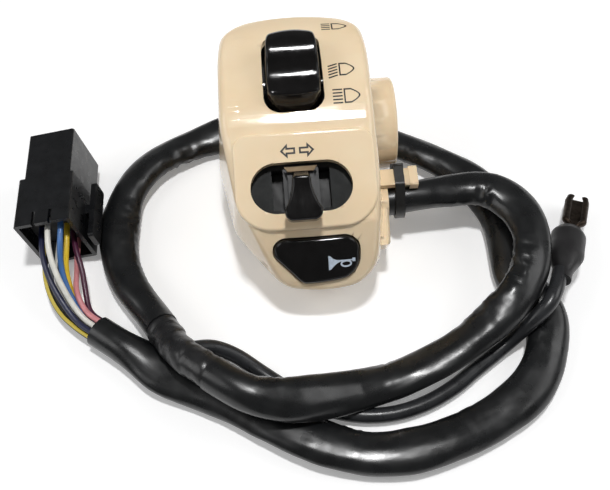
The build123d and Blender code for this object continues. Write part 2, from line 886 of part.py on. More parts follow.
def make_rocker():
    """Dimmer rocker with its boss, foot and hollow underside."""
    body = extrude(Plane.YZ * rocker_section(), amount=rocker_half_width, both=True)
    flank = make_face(Polyline(
        (-rocker_half_width, rocker_z - cut_overrun), (-rocker_half_width, rocker_shoulder_z),
        (-rocker_top_half_width, rocker_crest_z), (rocker_top_half_width, rocker_crest_z),
        (rocker_half_width, rocker_shoulder_z), (rocker_half_width, rocker_z - cut_overrun),
        (-rocker_half_width, rocker_z - cut_overrun),
    ))
    body = body & extrude(Plane.XZ * flank, amount=reach, both=True) & rocker_plan()
    top = body.edges().filter_by(lambda edge: edge.center().Z > rocker_valley_z - rocker_wall)
    body = fillet(top, radius=rocker_edge_round)
    cavity_low = rocker_z - cut_overrun
    cavity_top = rocker_valley_z - rocker_roof
    near_y = -rocker_near_shoulder_y + rocker_wall * 2
    far_y = rocker_far_shoulder_y - rocker_wall * 2
    hollow = Pos(0, (near_y + far_y) / 2, (cavity_low + cavity_top) / 2)
    hollow = hollow * Box((rocker_half_width - rocker_wall) * 2, far_y - near_y, cavity_top - cavity_low)
    boss = Rot(0, 90, 0) * Cylinder(radius=rocker_boss_radius, height=rocker_half_width * 2)
    web_height = cavity_top - rocker_z
    web = Pos(0, 0, web_height / 2) * Box(rocker_foot_half_x * 2, rocker_foot_half_y * 2, web_height)
    foot = Pos(0, 0, -rocker_foot_drop / 2) * Box(
        rocker_foot_half_x * 2, rocker_foot_half_y * 2, rocker_foot_drop
    )
    bore = Rot(0, 90, 0) * Cylinder(radius=pin_radius + pin_running_fit, height=reach)
    inner = boss + web + foot
    rocker = body - hollow + Pos(0, rocker_y, rocker_z) * inner
    return rocker - Pos(0, rocker_y, rocker_z) * bore


def make_rocker_pin():
    """Steel pin across the dimmer frame."""
    length = (dimmer_frame_half_x - clamp_free_gap) * 2
    pin = Rot(0, 90, 0) * Cylinder(radius=pin_radius, height=length)
    return Pos(0, rocker_y, rocker_z) * pin


def make_dimmer_frame():
    """Moulded frame with cheeks for the pin, two lugs and the detent barrel."""
    middle_y = (dimmer_frame_far_y - dimmer_frame_near_y) / 2
    length = dimmer_frame_far_y + dimmer_frame_near_y
    height = dimmer_frame_top_z - dimmer_frame_low_z
    outer = Pos(0, middle_y, (dimmer_frame_top_z + dimmer_frame_low_z) / 2)
    outer = outer * Box(dimmer_frame_half_x * 2, length, height)
    floor_z = dimmer_frame_low_z + dimmer_floor
    space_height = dimmer_frame_top_z - floor_z + cut_overrun
    space = Pos(0, middle_y, floor_z + space_height / 2)
    space = space * Box(dimmer_cavity_half_x * 2, length - dimmer_frame_wall * 2, space_height)
    lug = Pos(0, dimmer_screw_y, dimmer_lug_low_z + dimmer_lug_thickness / 2)
    lug = lug * Box(dimmer_lug_half_x * 2, dimmer_lug_half_y * 2, dimmer_lug_thickness)
    barrel_radius = ball_radius + barrel_fit + barrel_wall
    barrel_length = dimmer_barrel_end_x - dimmer_cavity_half_x
    barrel = Rot(0, 90, 0) * Cylinder(radius=barrel_radius, height=barrel_length)
    barrel = Pos((dimmer_barrel_end_x + dimmer_cavity_half_x) / 2, -dimmer_barrel_y, dimmer_barrel_z) * barrel
    frame = outer + lug + barrel - space
    bore_length = barrel_length - barrel_wall + cut_overrun
    bore = Rot(0, 90, 0) * Cylinder(radius=ball_radius + barrel_fit, height=bore_length)
    bore_middle = dimmer_barrel_end_x - barrel_wall - bore_length / 2
    frame = frame - Pos(bore_middle, -dimmer_barrel_y, dimmer_barrel_z) * bore
    pin_hole = Rot(0, 90, 0) * Cylinder(radius=pin_radius + pin_fit, height=reach)
    frame = frame - Pos(0, rocker_y, rocker_z) * pin_hole
    for side in (-1, 1):
        hole = pillar(side * dimmer_screw_x, dimmer_screw_y, dimmer_frame_low_z, dimmer_frame_top_z,
                      small_screw_radius + clamp_free_gap)
        frame = frame - hole
    return frame


def contact_plate(length, width, thickness):
    """Contact board with four rivet heads on its upper face."""
    board = Pos(0, 0, thickness / 2) * Box(length, width, thickness)
    for share_x in (-1, 1):
        for share_y in (-1, 1):
            rivet = Cylinder(radius=rivet_radius, height=rivet_height)
            x = share_x * (length / 2 - rivet_radius * 2)
            y = share_y * (width / 2 - rivet_radius * 2)
            board = board + Pos(x, y, thickness + rivet_height / 2) * rivet
    return board


def make_dimmer_board():
    """Fixed contact board on the floor of the dimmer frame."""
    length = (dimmer_cavity_half_x - dimmer_board_gap) * 2
    width = dimmer_frame_far_y + dimmer_frame_near_y - (dimmer_frame_wall + dimmer_board_gap) * 2
    middle_y = (dimmer_frame_far_y - dimmer_frame_near_y) / 2
    board = contact_plate(length, width, dimmer_board_thickness)
    return Pos(0, middle_y, dimmer_frame_low_z + dimmer_floor) * board


def make_dimmer_wiper():
    """Bridge contact on the rocker's foot."""
    strip = Box(rocker_foot_half_x * 2, rocker_foot_half_y * 2, contact_thickness)
    return Pos(0, rocker_y, rocker_z - rocker_foot_drop - contact_thickness / 2) * strip


def make_dimmer_ball():
    """Detent ball beside the rocker's flank."""
    gap = clamp_free_gap
    x = rocker_half_width + gap + ball_radius
    return Pos(x, -dimmer_barrel_y, dimmer_barrel_z) * Sphere(radius=ball_radius)


def coil(radius, wire, length, turns):
    """Round-wire coil spring standing on the origin, along Z."""
    rise = length - wire * 2
    path = Pos(0, 0, wire) * Helix(pitch=rise / turns, height=rise, radius=radius)
    section = Plane(origin=path @ 0, z_dir=path % 0) * Circle(wire)
    return sweep(section, path=path, is_frenet=True)


def make_dimmer_spring():
    """Spring behind the detent ball."""
    start = rocker_half_width + clamp_free_gap + ball_radius * 2
    length = dimmer_barrel_end_x - barrel_wall - start
    spring = coil(ball_radius - spring_wire / 2, spring_wire / 2, length, spring_turns)
    return Pos(start, -dimmer_barrel_y, dimmer_barrel_z) * Rot(0, 90, 0) * spring


def small_screw(seat, reach_up, radius):
    """Pan-head screw that points up, its seat at the given level."""
    shank = Pos(0, 0, seat + reach_up / 2) * Cylinder(radius=radius, height=reach_up)
    head = Pos(0, 0, seat - small_screw_head_height / 2)
    head = head * Cylinder(radius=small_screw_head_radius, height=small_screw_head_height)
    return shank + head


def make_dimmer_screws():
    """Two screws that hold the dimmer frame under the roof."""
    screw = small_screw(dimmer_lug_low_z - clamp_hole_gap, small_screw_reach, small_screw_radius)
    pair = [Pos(side * dimmer_screw_x, dimmer_screw_y, 0) * screw for side in (-1, 1)]
    return group(pair)


def make_turn_bezel():
    """Oval plate in the pad with the knob's slot, and the flange under the shell."""
    depth = bezel_depth()
    oval = stadium(bezel_half_length, bezel_half_width)
    plug = Pos(0, 0, -depth) * extrude(oval, amount=depth + bezel_proud)
    under = -depth - clamp_hole_gap
    flange = Pos(0, 0, under - bezel_flange_thickness / 2)
    flange = flange * Box(bezel_flange_half_length * 2, bezel_flange_half_width * 2, bezel_flange_thickness)
    flange = fillet(flange.edges().filter_by(Axis.Z), radius=slot_round)
    bridge = Pos(0, 0, under) * extrude(oval, amount=clamp_hole_gap)
    body = plug + flange + bridge
    slot_middle = (slot_far_v - slot_near_v) / 2
    slot = RectangleRounded(slot_half_length * 2, slot_far_v + slot_near_v, slot_round)
    slot = Pos(0, slot_middle, 0) * extrude(slot, amount=reach, both=True)
    room_top = bezel_proud - bezel_plate
    room_height = reach
    room_u = carriage_half_u + turn_travel + clamp_free_gap * 2
    room = Pos(0, 0, room_top - room_height / 2)
    room = room * Box(room_u * 2, (carriage_half_v + clamp_free_gap) * 2, room_height)
    body = body - slot - room
    for side in (-1, 1):
        hole = pillar(side * turn_screw_u, turn_screw_v, -reach, 0, small_screw_radius + clamp_free_gap)
        body = body - hole
    return (pad_plane() * body) & inner_room(wall + clamp_free_gap)


def carriage_top():
    """Level of the carriage plate's upper face, under the bezel's plate."""
    return bezel_proud - bezel_plate - clamp_free_gap


def stem_hole():
    """Square way through the carriage for the knob's stem."""
    middle = (stem_far_v - stem_near_v) / 2
    hole = Box((stem_half_u + stem_fit) * 2, stem_far_v + stem_near_v + stem_fit * 2, reach)
    return Pos(0, middle, 0) * hole


def make_turn_carriage():
    """Sliding carriage: plate, neck through the slot, sloped dust shield and notched leg."""
    top = carriage_top()
    plate = Pos(0, 0, top - carriage_thickness / 2)
    plate = plate * Box(carriage_half_u * 2, carriage_half_v * 2, carriage_thickness)
    neck_middle = (carriage_neck_far_v - carriage_neck_near_v) / 2
    neck_top = bezel_proud + shield_lift + shield_edge
    neck = Pos(0, neck_middle, (top + neck_top) / 2)
    neck = neck * Box(carriage_neck_half_u * 2, carriage_neck_far_v + carriage_neck_near_v, neck_top - top)
    low = bezel_proud + shield_lift
    level = low + shield_edge
    peak_v = knob_top_v + clamp_free_gap
    wedge = make_face(Polyline(
        (stem_far_v + stem_fit, low), (shield_far_v, low), (shield_far_v, level),
        (peak_v, low + shield_rise), (peak_v, level), (stem_far_v + stem_fit, level),
        (stem_far_v + stem_fit, low),
    ))
    shield = extrude(Plane.YZ * wedge, amount=shield_half_u, both=True)
    flank = make_face(Polyline(
        (-shield_half_u, shield_far_v), (shield_half_u, shield_far_v), (knob_top_half_u, stem_far_v),
        (-knob_top_half_u, stem_far_v), (-shield_half_u, shield_far_v),
    ))
    shield = shield & extrude(flank, amount=reach)
    leg_top = top - carriage_thickness
    leg = Pos(0, turn_leg_v, leg_top - turn_leg_length / 2)
    leg = leg * Box(turn_leg_half_u * 2, turn_leg_half_v * 2, turn_leg_length)
    bottom = leg_top - turn_leg_length
    notch = make_face(Polyline(
        (-turn_notch_depth * 2, bottom), (0, bottom + turn_notch_depth), (turn_notch_depth * 2, bottom),
        (-turn_notch_depth * 2, bottom),
    ))
    leg = leg - extrude(Plane.XZ * notch, amount=reach, both=True)
    carriage = plate + neck + shield + leg - stem_hole()
    return pad_plane() * carriage


def knob_outline():
    """Outline of the knob's head: narrow brow, waisted flanks and broad lip."""
    right = ThreePointArc(
        (knob_top_half_u, knob_waist_v),
        (knob_top_half_u + (knob_low_half_u - knob_top_half_u) / 4, -(knob_low_v - knob_waist_v) / 4),
        (knob_low_half_u, -(knob_low_v - knob_low_side)),
    )
    left = ThreePointArc(
        (-knob_low_half_u, -(knob_low_v - knob_low_side)),
        (-knob_top_half_u - (knob_low_half_u - knob_top_half_u) / 4, -(knob_low_v - knob_waist_v) / 4),
        (-knob_top_half_u, knob_waist_v),
    )
    brow = Polyline(
        (-knob_top_half_u, knob_waist_v), (-knob_top_half_u, knob_top_v), (knob_top_half_u, knob_top_v),
        (knob_top_half_u, knob_waist_v),
    )
    chin = Polyline(
        (knob_low_half_u, -(knob_low_v - knob_low_side)), (knob_low_half_u, -knob_low_v),
        (-knob_low_half_u, -knob_low_v), (-knob_low_half_u, -(knob_low_v - knob_low_side)),
    )
    face = make_face(brow + right + chin + left)
    low_corners = face.vertices().sort_by(Axis.Y)[0:2]
    face = fillet(low_corners, radius=knob_low_round)
    top_corners = face.vertices().sort_by(Axis.Y)[-2:]
    return fillet(top_corners, radius=knob_top_round)


def make_turn_knob():
    """Turn signal knob: flared head, neck and the stem that goes through the carriage."""
    head = Pos(0, 0, knob_bottom_w) * extrude(knob_outline(), amount=knob_top_w - knob_bottom_w)
    head = fillet(head.faces().sort_by(Axis.Z)[-1].edges(), radius=knob_edge_round)
    middle = (stem_far_v - stem_near_v) / 2
    stem_height = stem_length + knob_bottom_w
    stem = Pos(0, middle, knob_bottom_w - stem_height / 2)
    stem = stem * Box(stem_half_u * 2, stem_far_v + stem_near_v, stem_height)
    return pad_plane() * (head + stem)


def turn_box_top():
    """Level where the contact box meets the bezel's flange."""
    return -bezel_depth() - bezel_flange_thickness - clamp_hole_gap * 2


def turn_box_floor():
    """Level of the inside floor of the contact box."""
    return turn_box_top() - turn_box_depth + turn_box_wall


def make_turn_box():
    """Contact box under the bezel, with two lugs and the detent barrel."""
    top = turn_box_top()
    outer = Pos(0, 0, top - turn_box_depth / 2)
    outer = outer * Box(turn_box_half_u * 2, turn_box_half_v * 2, turn_box_depth)
    lug = Pos(0, turn_screw_v, top - turn_box_wall / 2)
    lug = lug * Box((turn_screw_u + small_screw_head_radius) * 2, small_screw_head_radius * 2, turn_box_wall)
    barrel_radius = ball_radius + barrel_fit + barrel_wall
    floor = turn_box_floor()
    barrel_low = floor - turn_barrel_length
    barrel = pillar(0, turn_leg_v, barrel_low, floor, barrel_radius)
    space_height = turn_box_depth - turn_box_wall + cut_overrun
    space = Pos(0, 0, floor + space_height / 2)
    space = space * Box(
        (turn_box_half_u - turn_box_wall) * 2, (turn_box_half_v - turn_box_wall) * 2, space_height
    )
    body = outer + lug + barrel - space
    bore = pillar(0, turn_leg_v, barrel_low + barrel_wall, floor + cut_overrun, ball_radius + barrel_fit)
    body = body - bore
    for side in (-1, 1):
        hole = pillar(side * turn_screw_u, turn_screw_v, -reach, 0, small_screw_radius + clamp_free_gap)
        body = body - hole
    return pad_plane() * body


def make_turn_board():
    """Fixed contact board on the floor of the turn box, open over the barrel."""
    length = (turn_box_half_u - turn_box_wall - turn_board_gap) * 2
    width = (turn_box_half_v - turn_box_wall - turn_board_gap) * 2
    board = contact_plate(length, width, turn_board_thickness)
    board = board - Pos(0, turn_leg_v, 0) * Cylinder(radius=ball_radius + barrel_fit * 2, height=reach)
    return pad_plane() * Pos(0, 0, turn_box_floor()) * board


def turn_leg_bottom():
    """Level of the carriage leg's foot."""
    return carriage_top() - carriage_thickness - turn_leg_length


def make_turn_ball():
    """Detent ball under the carriage's notch."""
    centre = turn_leg_bottom() - clamp_free_gap - ball_radius
    return pad_plane() * Pos(0, turn_leg_v, centre) * Sphere(radius=ball_radius)


def make_turn_spring():
    """Spring under the detent ball."""
    low = turn_box_floor() - turn_barrel_length + barrel_wall
    top = turn_leg_bottom() - clamp_free_gap - ball_radius * 2
    spring = coil(ball_radius - spring_wire / 2, spring_wire / 2, top - low, spring_turns)
    return pad_plane() * Pos(0, turn_leg_v, low) * spring


def make_turn_wiper():
    """Bridge contact under the carriage."""
    top = carriage_top() - carriage_thickness
    strip = Pos(0, -turn_wiper_v, top - contact_thickness / 2)
    return pad_plane() * strip * Box(carriage_half_u * 2, contact_width, contact_thickness)


def make_turn_screws():
    """Two screws that hold the box and bezel under the pad."""
    screw = small_screw(turn_screw_seat() - clamp_hole_gap, turn_screw_reach, small_screw_radius)
    pair = [pad_plane() * Pos(side * turn_screw_u, turn_screw_v, 0) * screw for side in (-1, 1)]
    return group(pair)


def outline_column(inset, low, high):
    """Upright column of the housing's outline, for trimming what sits inside."""
    return extrude(Pos(0, 0, low) * parting_outline(inset), amount=high - low)


def make_horn_button():
    """Horn button: crowned face, flange behind the shell and the spring sleeve."""
    cap = horn_outline(-horn_gap)
    flange_top = -wall - horn_rest_gap
    flange_low = flange_top - horn_flange_thickness
    crown = Pos(0, 0, flange_low) * extrude(cap, amount=horn_proud - flange_low)
    crown = fillet(crown.faces().sort_by(Axis.Z)[-1].edges(), radius=horn_crown_round)
    flange = Pos(0, 0, flange_low) * extrude(horn_outline(horn_flange), amount=horn_flange_thickness)
    sleeve = pillar(0, 0, flange_low - horn_sleeve_drop, flange_low, horn_sleeve_radius)
    pocket = pillar(0, 0, flange_low - horn_sleeve_drop - cut_overrun, horn_pocket_top(), horn_sleeve_bore)
    trim = outline_column(wall * 2, -box_depth, crown_peak_z)
    plane = horn_plane()
    button = plane * crown + ((plane * flange) & trim) + plane * sleeve
    return button - plane * pocket


def horn_pocket_top():
    """Level of the roof of the button's spring pocket."""
    return -wall - horn_rest_gap - horn_flange_thickness + horn_pocket_depth


def make_horn_base():
    """Fixed base plate with the guide pin for the spring."""
    length = horn_base_far_v + horn_base_low_v
    middle = (horn_base_far_v - horn_base_low_v) / 2
    plate = extrude(RectangleRounded(horn_base_half_u * 2, length, horn_base_round),
                    amount=-horn_base_thickness)
    plate = Pos(0, middle, -horn_base_depth) * plate
    guide = pillar(0, 0, -horn_base_depth, -horn_base_depth + horn_pin_height, horn_pin_radius)
    body = plate + guide
    for u in horn_post_places:
        hole = Pos(u, horn_post_v, 0) * Cylinder(radius=horn_peg_radius + horn_peg_fit, height=reach)
        body = body - hole
    return horn_plane() * body


def make_horn_spring():
    """Return spring that rides in the button's sleeve."""
    top = horn_pocket_top() - clamp_hole_gap
    spring = coil(horn_spring_radius, horn_spring_wire / 2, horn_spring_length, horn_spring_turns)
    return horn_plane() * Pos(0, 0, top - horn_spring_length) * spring


def make_horn_wiper():
    """Moving contact on the back of the button."""
    top = -wall - horn_rest_gap - horn_flange_thickness
    strip = Pos(horn_contact_u, 0, top - contact_thickness / 2)
    return horn_plane() * strip * Box(contact_width, contact_width * 2, contact_thickness)


def make_horn_contact():
    """Fixed contact spring leaf on the base plate."""
    low = -horn_base_depth
    leaf = Pos(horn_contact_u, 0, low + contact_thickness / 2)
    leaf = leaf * Box(contact_width * 2, contact_width * 2, contact_thickness)
    tip_height = horn_contact_height() - contact_thickness
    tip = Pos(horn_contact_u, 0, low + contact_thickness + tip_height / 2)
    tip = tip * Cylinder(radius=rivet_radius, height=tip_height)
    return horn_plane() * (leaf + tip)


def horn_contact_height():
    """Height of the fixed contact, short of the wiper at full press."""
    wiper_low = -wall - horn_rest_gap - horn_flange_thickness - contact_thickness - horn_travel
    return wiper_low - clamp_free_gap + horn_base_depth


def make_cable_tie():
    """Nylon tie round the tongue and the loom, with its head."""
    loom = Pos(-tie_y, -tie_z) * Circle(sleeve_radius)
    plate = Pos(-(tongue_near_y + tongue_far_y) / 2, tongue_thickness / 2)
    plate = plate * Rectangle(tongue_far_y - tongue_near_y, tongue_thickness)
    core = make_hull(loom.edges() + plate.edges())
    band = offset(core, amount=tie_gap + tie_thickness) - offset(core, amount=tie_gap)
    strap = extrude(Plane.YZ * band, amount=tie_width / 2, both=True)
    head = Pos(0, -tie_head_v, -tie_head_w) * Box(tie_width + tie_thickness, tie_head_z, tie_head_y)
    head = head - extrude(Plane.YZ * offset(core, amount=tie_gap), amount=reach, both=True)
    return Pos(tie_x, 0, 0) * (strap + head)


def route_radii(points, name):
    """Bend radius at each inner point, from the shorter run beside it."""
    places = [Vector(*point) for point in points]
    radii = []
    for before, here, after in zip(places, places[1:], places[2:]):
        run = min((here - before).length, (after - here).length)
        turn = math.radians((here - before).get_angle(after - here))
        radii.append(run_share * run / math.tan(turn / 2))
    print(name, "smallest bend", round(min(radii), 1), "of", [round(radius) for radius in radii])
    return radii


def cord_tube(points, radius, name):
    """Round tube along straight runs joined by arcs."""
    path = FilletPolyline(*points, radius=route_radii(points, name))
    section = Plane(origin=path @ 0, z_dir=path % 0) * Circle(radius)
    tube = sweep(section, path=path)
    expected = math.pi * radius ** 2 * path.length
    print(name, "length", round(path.length, 1), "volume share", round(tube.volume / expected, 4))
    return tube


def plug_place():
    """Where the plug lies on the table, leaning on its edge."""
    lift = plug_half_width * math.sin(math.radians(abs(plug_lean))) + plug_lift
    return Pos(plug_x, plug_y, lift) * Rot(0, plug_lean, 0)


def retainer_face_y():
    """Rear face of the retainer, where the wires come out, along the plug."""
    return -plug_rear_length + plug_recess - retainer_thickness


def make_plug_housing():
    """Plug body: wire chamber with its slotted roof, and the narrower mating hood."""
    rear = Pos(0, -plug_rear_length / 2, plug_height / 2)
    rear = rear * Box(plug_half_width * 2, plug_rear_length, plug_height)
    rear = fillet(rear.edges().filter_by(Axis.Y), radius=plug_edge_round)
    hood = Pos(0, plug_hood_length / 2, plug_height / 2)
    hood = hood * Box(plug_hood_half_width * 2, plug_hood_length, plug_hood_height)
    hood = fillet(hood.edges().filter_by(Axis.Y), radius=plug_edge_round)
    body = rear + hood
    mouth = Pos(0, plug_hood_length - plug_hood_depth / 2, plug_height / 2)
    mouth = mouth * Box(
        (plug_hood_half_width - plug_wall) * 2, plug_hood_depth, plug_hood_height - plug_wall * 2
    )
    chamber = Pos(0, -plug_rear_length + plug_recess / 2, plug_height / 2)
    chamber = chamber * Box((plug_half_width - plug_wall) * 2, plug_recess, plug_height - plug_wall * 2)
    body = body - mouth - chamber
    for side in (-1, 1):
        slot = Pos(side * plug_slot_x, -plug_rear_length + plug_slot_length / 2, plug_height)
        body = body - slot * Box(plug_slot_width, plug_slot_length, plug_wall * 2 + plug_edge_round)
    return plug_place() * (body + plug_latch())


def plug_latch():
    """Latch arm on the plug's side."""
    start_y = -plug_rear_length
    arm = Pos(plug_half_width + plug_latch_lift + plug_latch_thickness / 2,
              start_y + plug_latch_length / 2, plug_latch_z)
    arm = arm * Box(plug_latch_thickness, plug_latch_length, plug_latch_width)
    arm = fillet(arm.edges().filter_by(Axis.X), radius=plug_edge_round)
    root = Pos(plug_half_width + plug_latch_lift / 2, start_y + plug_latch_length / 2, plug_latch_z)
    root = root * Box(plug_latch_lift * 2, plug_latch_thickness * 2, plug_latch_width)
    return arm + root


def pin_places():
    """Grid of the contact cavities, as (x, z) in the plug."""
    places = []
    for column in range(pin_columns):
        for row in range(pin_rows):
            x = (column - (pin_columns - 1) / 2) * pin_pitch_x
            z = plug_height / 2 + (row - (pin_rows - 1) / 2) * pin_pitch_z
            places.append((x, z))
    return places


def make_plug_retainer():
    """Retainer plate in the wire chamber."""
    width = (plug_half_width - plug_wall - retainer_gap) * 2
    height = plug_height - (plug_wall + retainer_gap) * 2
    plate = Box(width, retainer_thickness, height)
    return plug_place() * Pos(0, retainer_face_y() + retainer_thickness / 2, plug_height / 2) * plate


def make_plug_terminals():
    """Twelve flat pins in the mating hood."""
    floor_y = plug_hood_length - plug_hood_depth
    pins = []
    for x, z in pin_places():
        pin = Box(pin_half_width * 2, pin_length, pin_half_thickness * 2)
        pins.append(plug_place() * Pos(x, floor_y + plug_floor_gap + pin_length / 2, z) * pin)
    return group(pins)


def line_plane(start, end):
    """Plane at one point that looks along the line to the other."""
    return Plane(origin=start, z_dir=Vector(*end) - Vector(*start))


def make_branch_boot():
    """Soft boot over the branch terminal: small neck, shoulder and open mouth."""
    length = (Vector(*boot_end) - Vector(*boot_start)).length
    shoulder = length * boot_shoulder_share
    mouth_radius = boot_large_radius - boot_mouth_wall
    outline = make_face(Polyline(
        (0, 0), (boot_small_radius, 0), (boot_shoulder_radius, shoulder), (boot_large_radius, length),
        (mouth_radius, length), (mouth_radius, length - boot_mouth_depth),
        (0, length - boot_mouth_depth), (0, 0),
    ))
    body = revolve(Plane.XZ * outline, axis=Axis.Z)
    rim = body.edges().filter_by(lambda edge: abs(edge.center().Z - shoulder) < boot_mouth_wall / 4)
    body = fillet(rim, radius=boot_lip_round)
    return line_plane(boot_start, boot_end) * body


def make_branch_terminal():
    """Crimped female blade terminal in the boot's mouth."""
    start = Vector(*boot_end) + (Vector(*boot_start) - Vector(*boot_end)).normalized() * boot_mouth_depth
    barrel = Cylinder(radius=blade_barrel_radius, height=blade_barrel_length)
    barrel = Pos(0, 0, blade_barrel_length / 2) * barrel
    barrel_end = start + (Vector(*boot_end) - start).normalized() * blade_barrel_length
    piece = line_plane(start, boot_end) * barrel
    tip = Vector(*blade_tip)
    length = (tip - barrel_end).length
    blade = Pos(0, 0, length / 2) * Box(blade_half_width * 2, blade_half_thickness * 2, length)
    roll_start = length * blade_roll_start_share
    roll_length = length - roll_start
    for side in (-1, 1):
        roll_x = side * (blade_half_width - blade_roll_radius)
        roll = Cylinder(radius=blade_roll_radius, height=roll_length)
        blade = blade + Pos(roll_x, blade_roll_radius, roll_start + roll_length / 2) * roll
    plane = Plane(origin=barrel_end, x_dir=(tip - barrel_end).cross(Vector(0, 0, 1)), z_dir=tip - barrel_end)
    return piece + plane * blade


# Bodies that stay with the housing, in the bar's frame
housing_pieces = {
    "front_shell": make_front_shell(),
    "rear_shell": make_rear_shell(),
    "clamp_screws": make_clamp_screws(),
    "dimmer_rocker": make_rocker(),
    "rocker_pin": make_rocker_pin(),
    "dimmer_frame": make_dimmer_frame(),
    "dimmer_contact_board": make_dimmer_board(),
    "dimmer_wiper": make_dimmer_wiper(),
    "dimmer_detent_ball": make_dimmer_ball(),
    "dimmer_detent_spring": make_dimmer_spring(),
    "dimmer_screws": make_dimmer_screws(),
    "turn_bezel": make_turn_bezel(),
    "turn_carriage": make_turn_carriage(),
    "turn_knob": make_turn_knob(),
    "turn_box": make_turn_box(),
    "turn_contact_board": make_turn_board(),
    "turn_wiper": make_turn_wiper(),
    "turn_detent_ball": make_turn_ball(),
    "turn_detent_spring": make_turn_spring(),
    "turn_screws": make_turn_screws(),
    "horn_button": make_horn_button(),
    "horn_base": make_horn_base(),
    "horn_spring": make_horn_spring(),
    "horn_wiper": make_horn_wiper(),
    "horn_contact": make_horn_contact(),
    "cable_tie": make_cable_tie(),
}

# Loom pieces, already in the table's frame
loom_pieces = {
    "housing_sleeve": cord_tube(housing_sleeve_route, sleeve_radius, "housing_sleeve"),
    "joint_tape": cord_tube(joint_route, tape_radius, "joint_tape"),
    "plug_sleeve": cord_tube(plug_sleeve_route, sleeve_radius, "plug_sleeve"),
    "branch_sleeve": cord_tube(branch_route, branch_radius, "branch_sleeve"),
    "branch_boot": make_branch_boot(),
    "branch_terminal": make_branch_terminal(),
    "plug_housing": make_plug_housing(),
    "plug_retainer": make_plug_retainer(),
    "plug_terminals": make_plug_terminals(),
}


def table_shift(pieces):
    """Shift that centres the pieces on the origin and stands them on the table."""
    boxes = [piece.bounding_box() for piece in pieces]
    low_x = min(box.min.X for box in boxes)
    high_x = max(box.max.X for box in boxes)
    low_y = min(box.min.Y for box in boxes)
    high_y = max(box.max.Y for box in boxes)
    low_z = min(box.min.Z for box in boxes)
    return Pos(-(low_x + high_x) / 2, -(low_y + high_y) / 2, -low_z)


def make_wires():
    """Ten insulated wires from the plug to the mouth of its sleeve."""
    wires = {}
    for colour, route in wire_routes.items():
        name = "wire_" + colour
        wires[name] = cord_tube(route, wire_radius, name)
    return wires


def write_parts():
    """Stand the cluster on the table, centre it on the origin and write each piece."""
    table = Pos(0, 0, axis_height()) * tilt_turn()
    placed = {name: table * piece for name, piece in housing_pieces.items()}
    shift = table_shift(placed.values())
    placed.update(loom_pieces)
    placed.update(make_wires())
    os.makedirs("parts", exist_ok=True)
    for name, piece in placed.items():
        export_step(shift * piece, "parts/" + name + ".step")
    print("shift", shift.position, "axis height", round(axis_height(), 3))


write_parts()
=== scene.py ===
import math

import bpy
from bpy.props import FloatProperty, FloatVectorProperty, PointerProperty
from mathutils import Matrix, Vector, noise


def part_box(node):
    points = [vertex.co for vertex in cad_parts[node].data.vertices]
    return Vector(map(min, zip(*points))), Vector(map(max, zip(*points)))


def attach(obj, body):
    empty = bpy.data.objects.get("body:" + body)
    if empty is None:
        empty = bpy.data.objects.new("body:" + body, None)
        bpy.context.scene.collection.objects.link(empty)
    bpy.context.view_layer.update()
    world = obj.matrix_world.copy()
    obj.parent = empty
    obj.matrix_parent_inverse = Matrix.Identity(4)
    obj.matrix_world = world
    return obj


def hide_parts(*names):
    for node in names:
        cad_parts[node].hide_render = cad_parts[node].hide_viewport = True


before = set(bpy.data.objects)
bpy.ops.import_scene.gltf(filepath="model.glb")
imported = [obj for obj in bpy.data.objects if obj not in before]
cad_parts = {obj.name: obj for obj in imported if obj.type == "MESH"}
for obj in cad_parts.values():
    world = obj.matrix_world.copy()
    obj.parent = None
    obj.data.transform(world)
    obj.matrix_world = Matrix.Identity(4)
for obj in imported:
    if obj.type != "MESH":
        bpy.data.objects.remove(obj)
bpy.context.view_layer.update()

bl_info = {
    "name": "Handlebar switch cluster",
    "version": (1, 0, 0),
    "blender": (4, 5, 0),
    "location": "View3D > Sidebar > Cluster",
    "description": "Dresses a left handlebar switch cluster with its signs, loom and plug",
    "category": "Object",
}

MM = 0.001

# The housing's own frame: X along the bar, Y up the housing, Z toward the rider
HOUSING_PLACE = (-0.00625, 0.0133411, 0.0250597)
HOUSING_TILT = math.radians(8.0)
HOUSING = Matrix.Translation(HOUSING_PLACE) @ Matrix.Rotation(HOUSING_TILT, 4, "X")

# Places and a direction in the housing's frame, in millimetres, and slopes in degrees
PAD_SLOPE = 18.3
PAD_UP = Vector((0, -math.sin(math.radians(PAD_SLOPE)), math.cos(math.radians(PAD_SLOPE))))
HORN_FACE = (3.5, -54.2, 8.3)
HORN_SLOPE = 45.0
CROWN_START = 4.0
CROWN_END = 34.6
CROWN_HALF_WIDTH = 25.0
CHIN_START = -34.0
CHIN_END = -61.8
CHIN_MIDDLE = 5.6
CHIN_HALF_WIDTH = 18.0
UNDERCUT_START = -25.0
UNDERCUT_TOP = 3.5
ROCKER_MIDDLE = 4.25
ROCKER_HALF_LENGTH = 14.45
ROCKER_HALF_WIDTH = 9.1
KNOB_WAIST = -36.0
KNOB_GRIP_END = -45.0

# Runs in millimetres over which a change of form sets in
UNDERCUT_EASE = 3
KNOB_WAIST_EASE = 5.0
KNOB_REACH_EASE = 9.0
KNOB_GRIP_EASE = 11.0
KNOB_FOOT_EASE = 1.5

# Shares by which the rocker's near corners and far end and the knob's waist are drawn in
ROCKER_NEAR = 0.45
ROCKER_FAR = 0.17
KNOB_NARROWING = 0.10

# Heights in millimetres along the pad's normal, for the knob's grip and the painted reflection of the
# cream on the carriage's shield
KNOB_FOOT = 35.6
PAINTED_REFLECTION_START = 5.45
PAINTED_REFLECTION_EDGE = 0.1

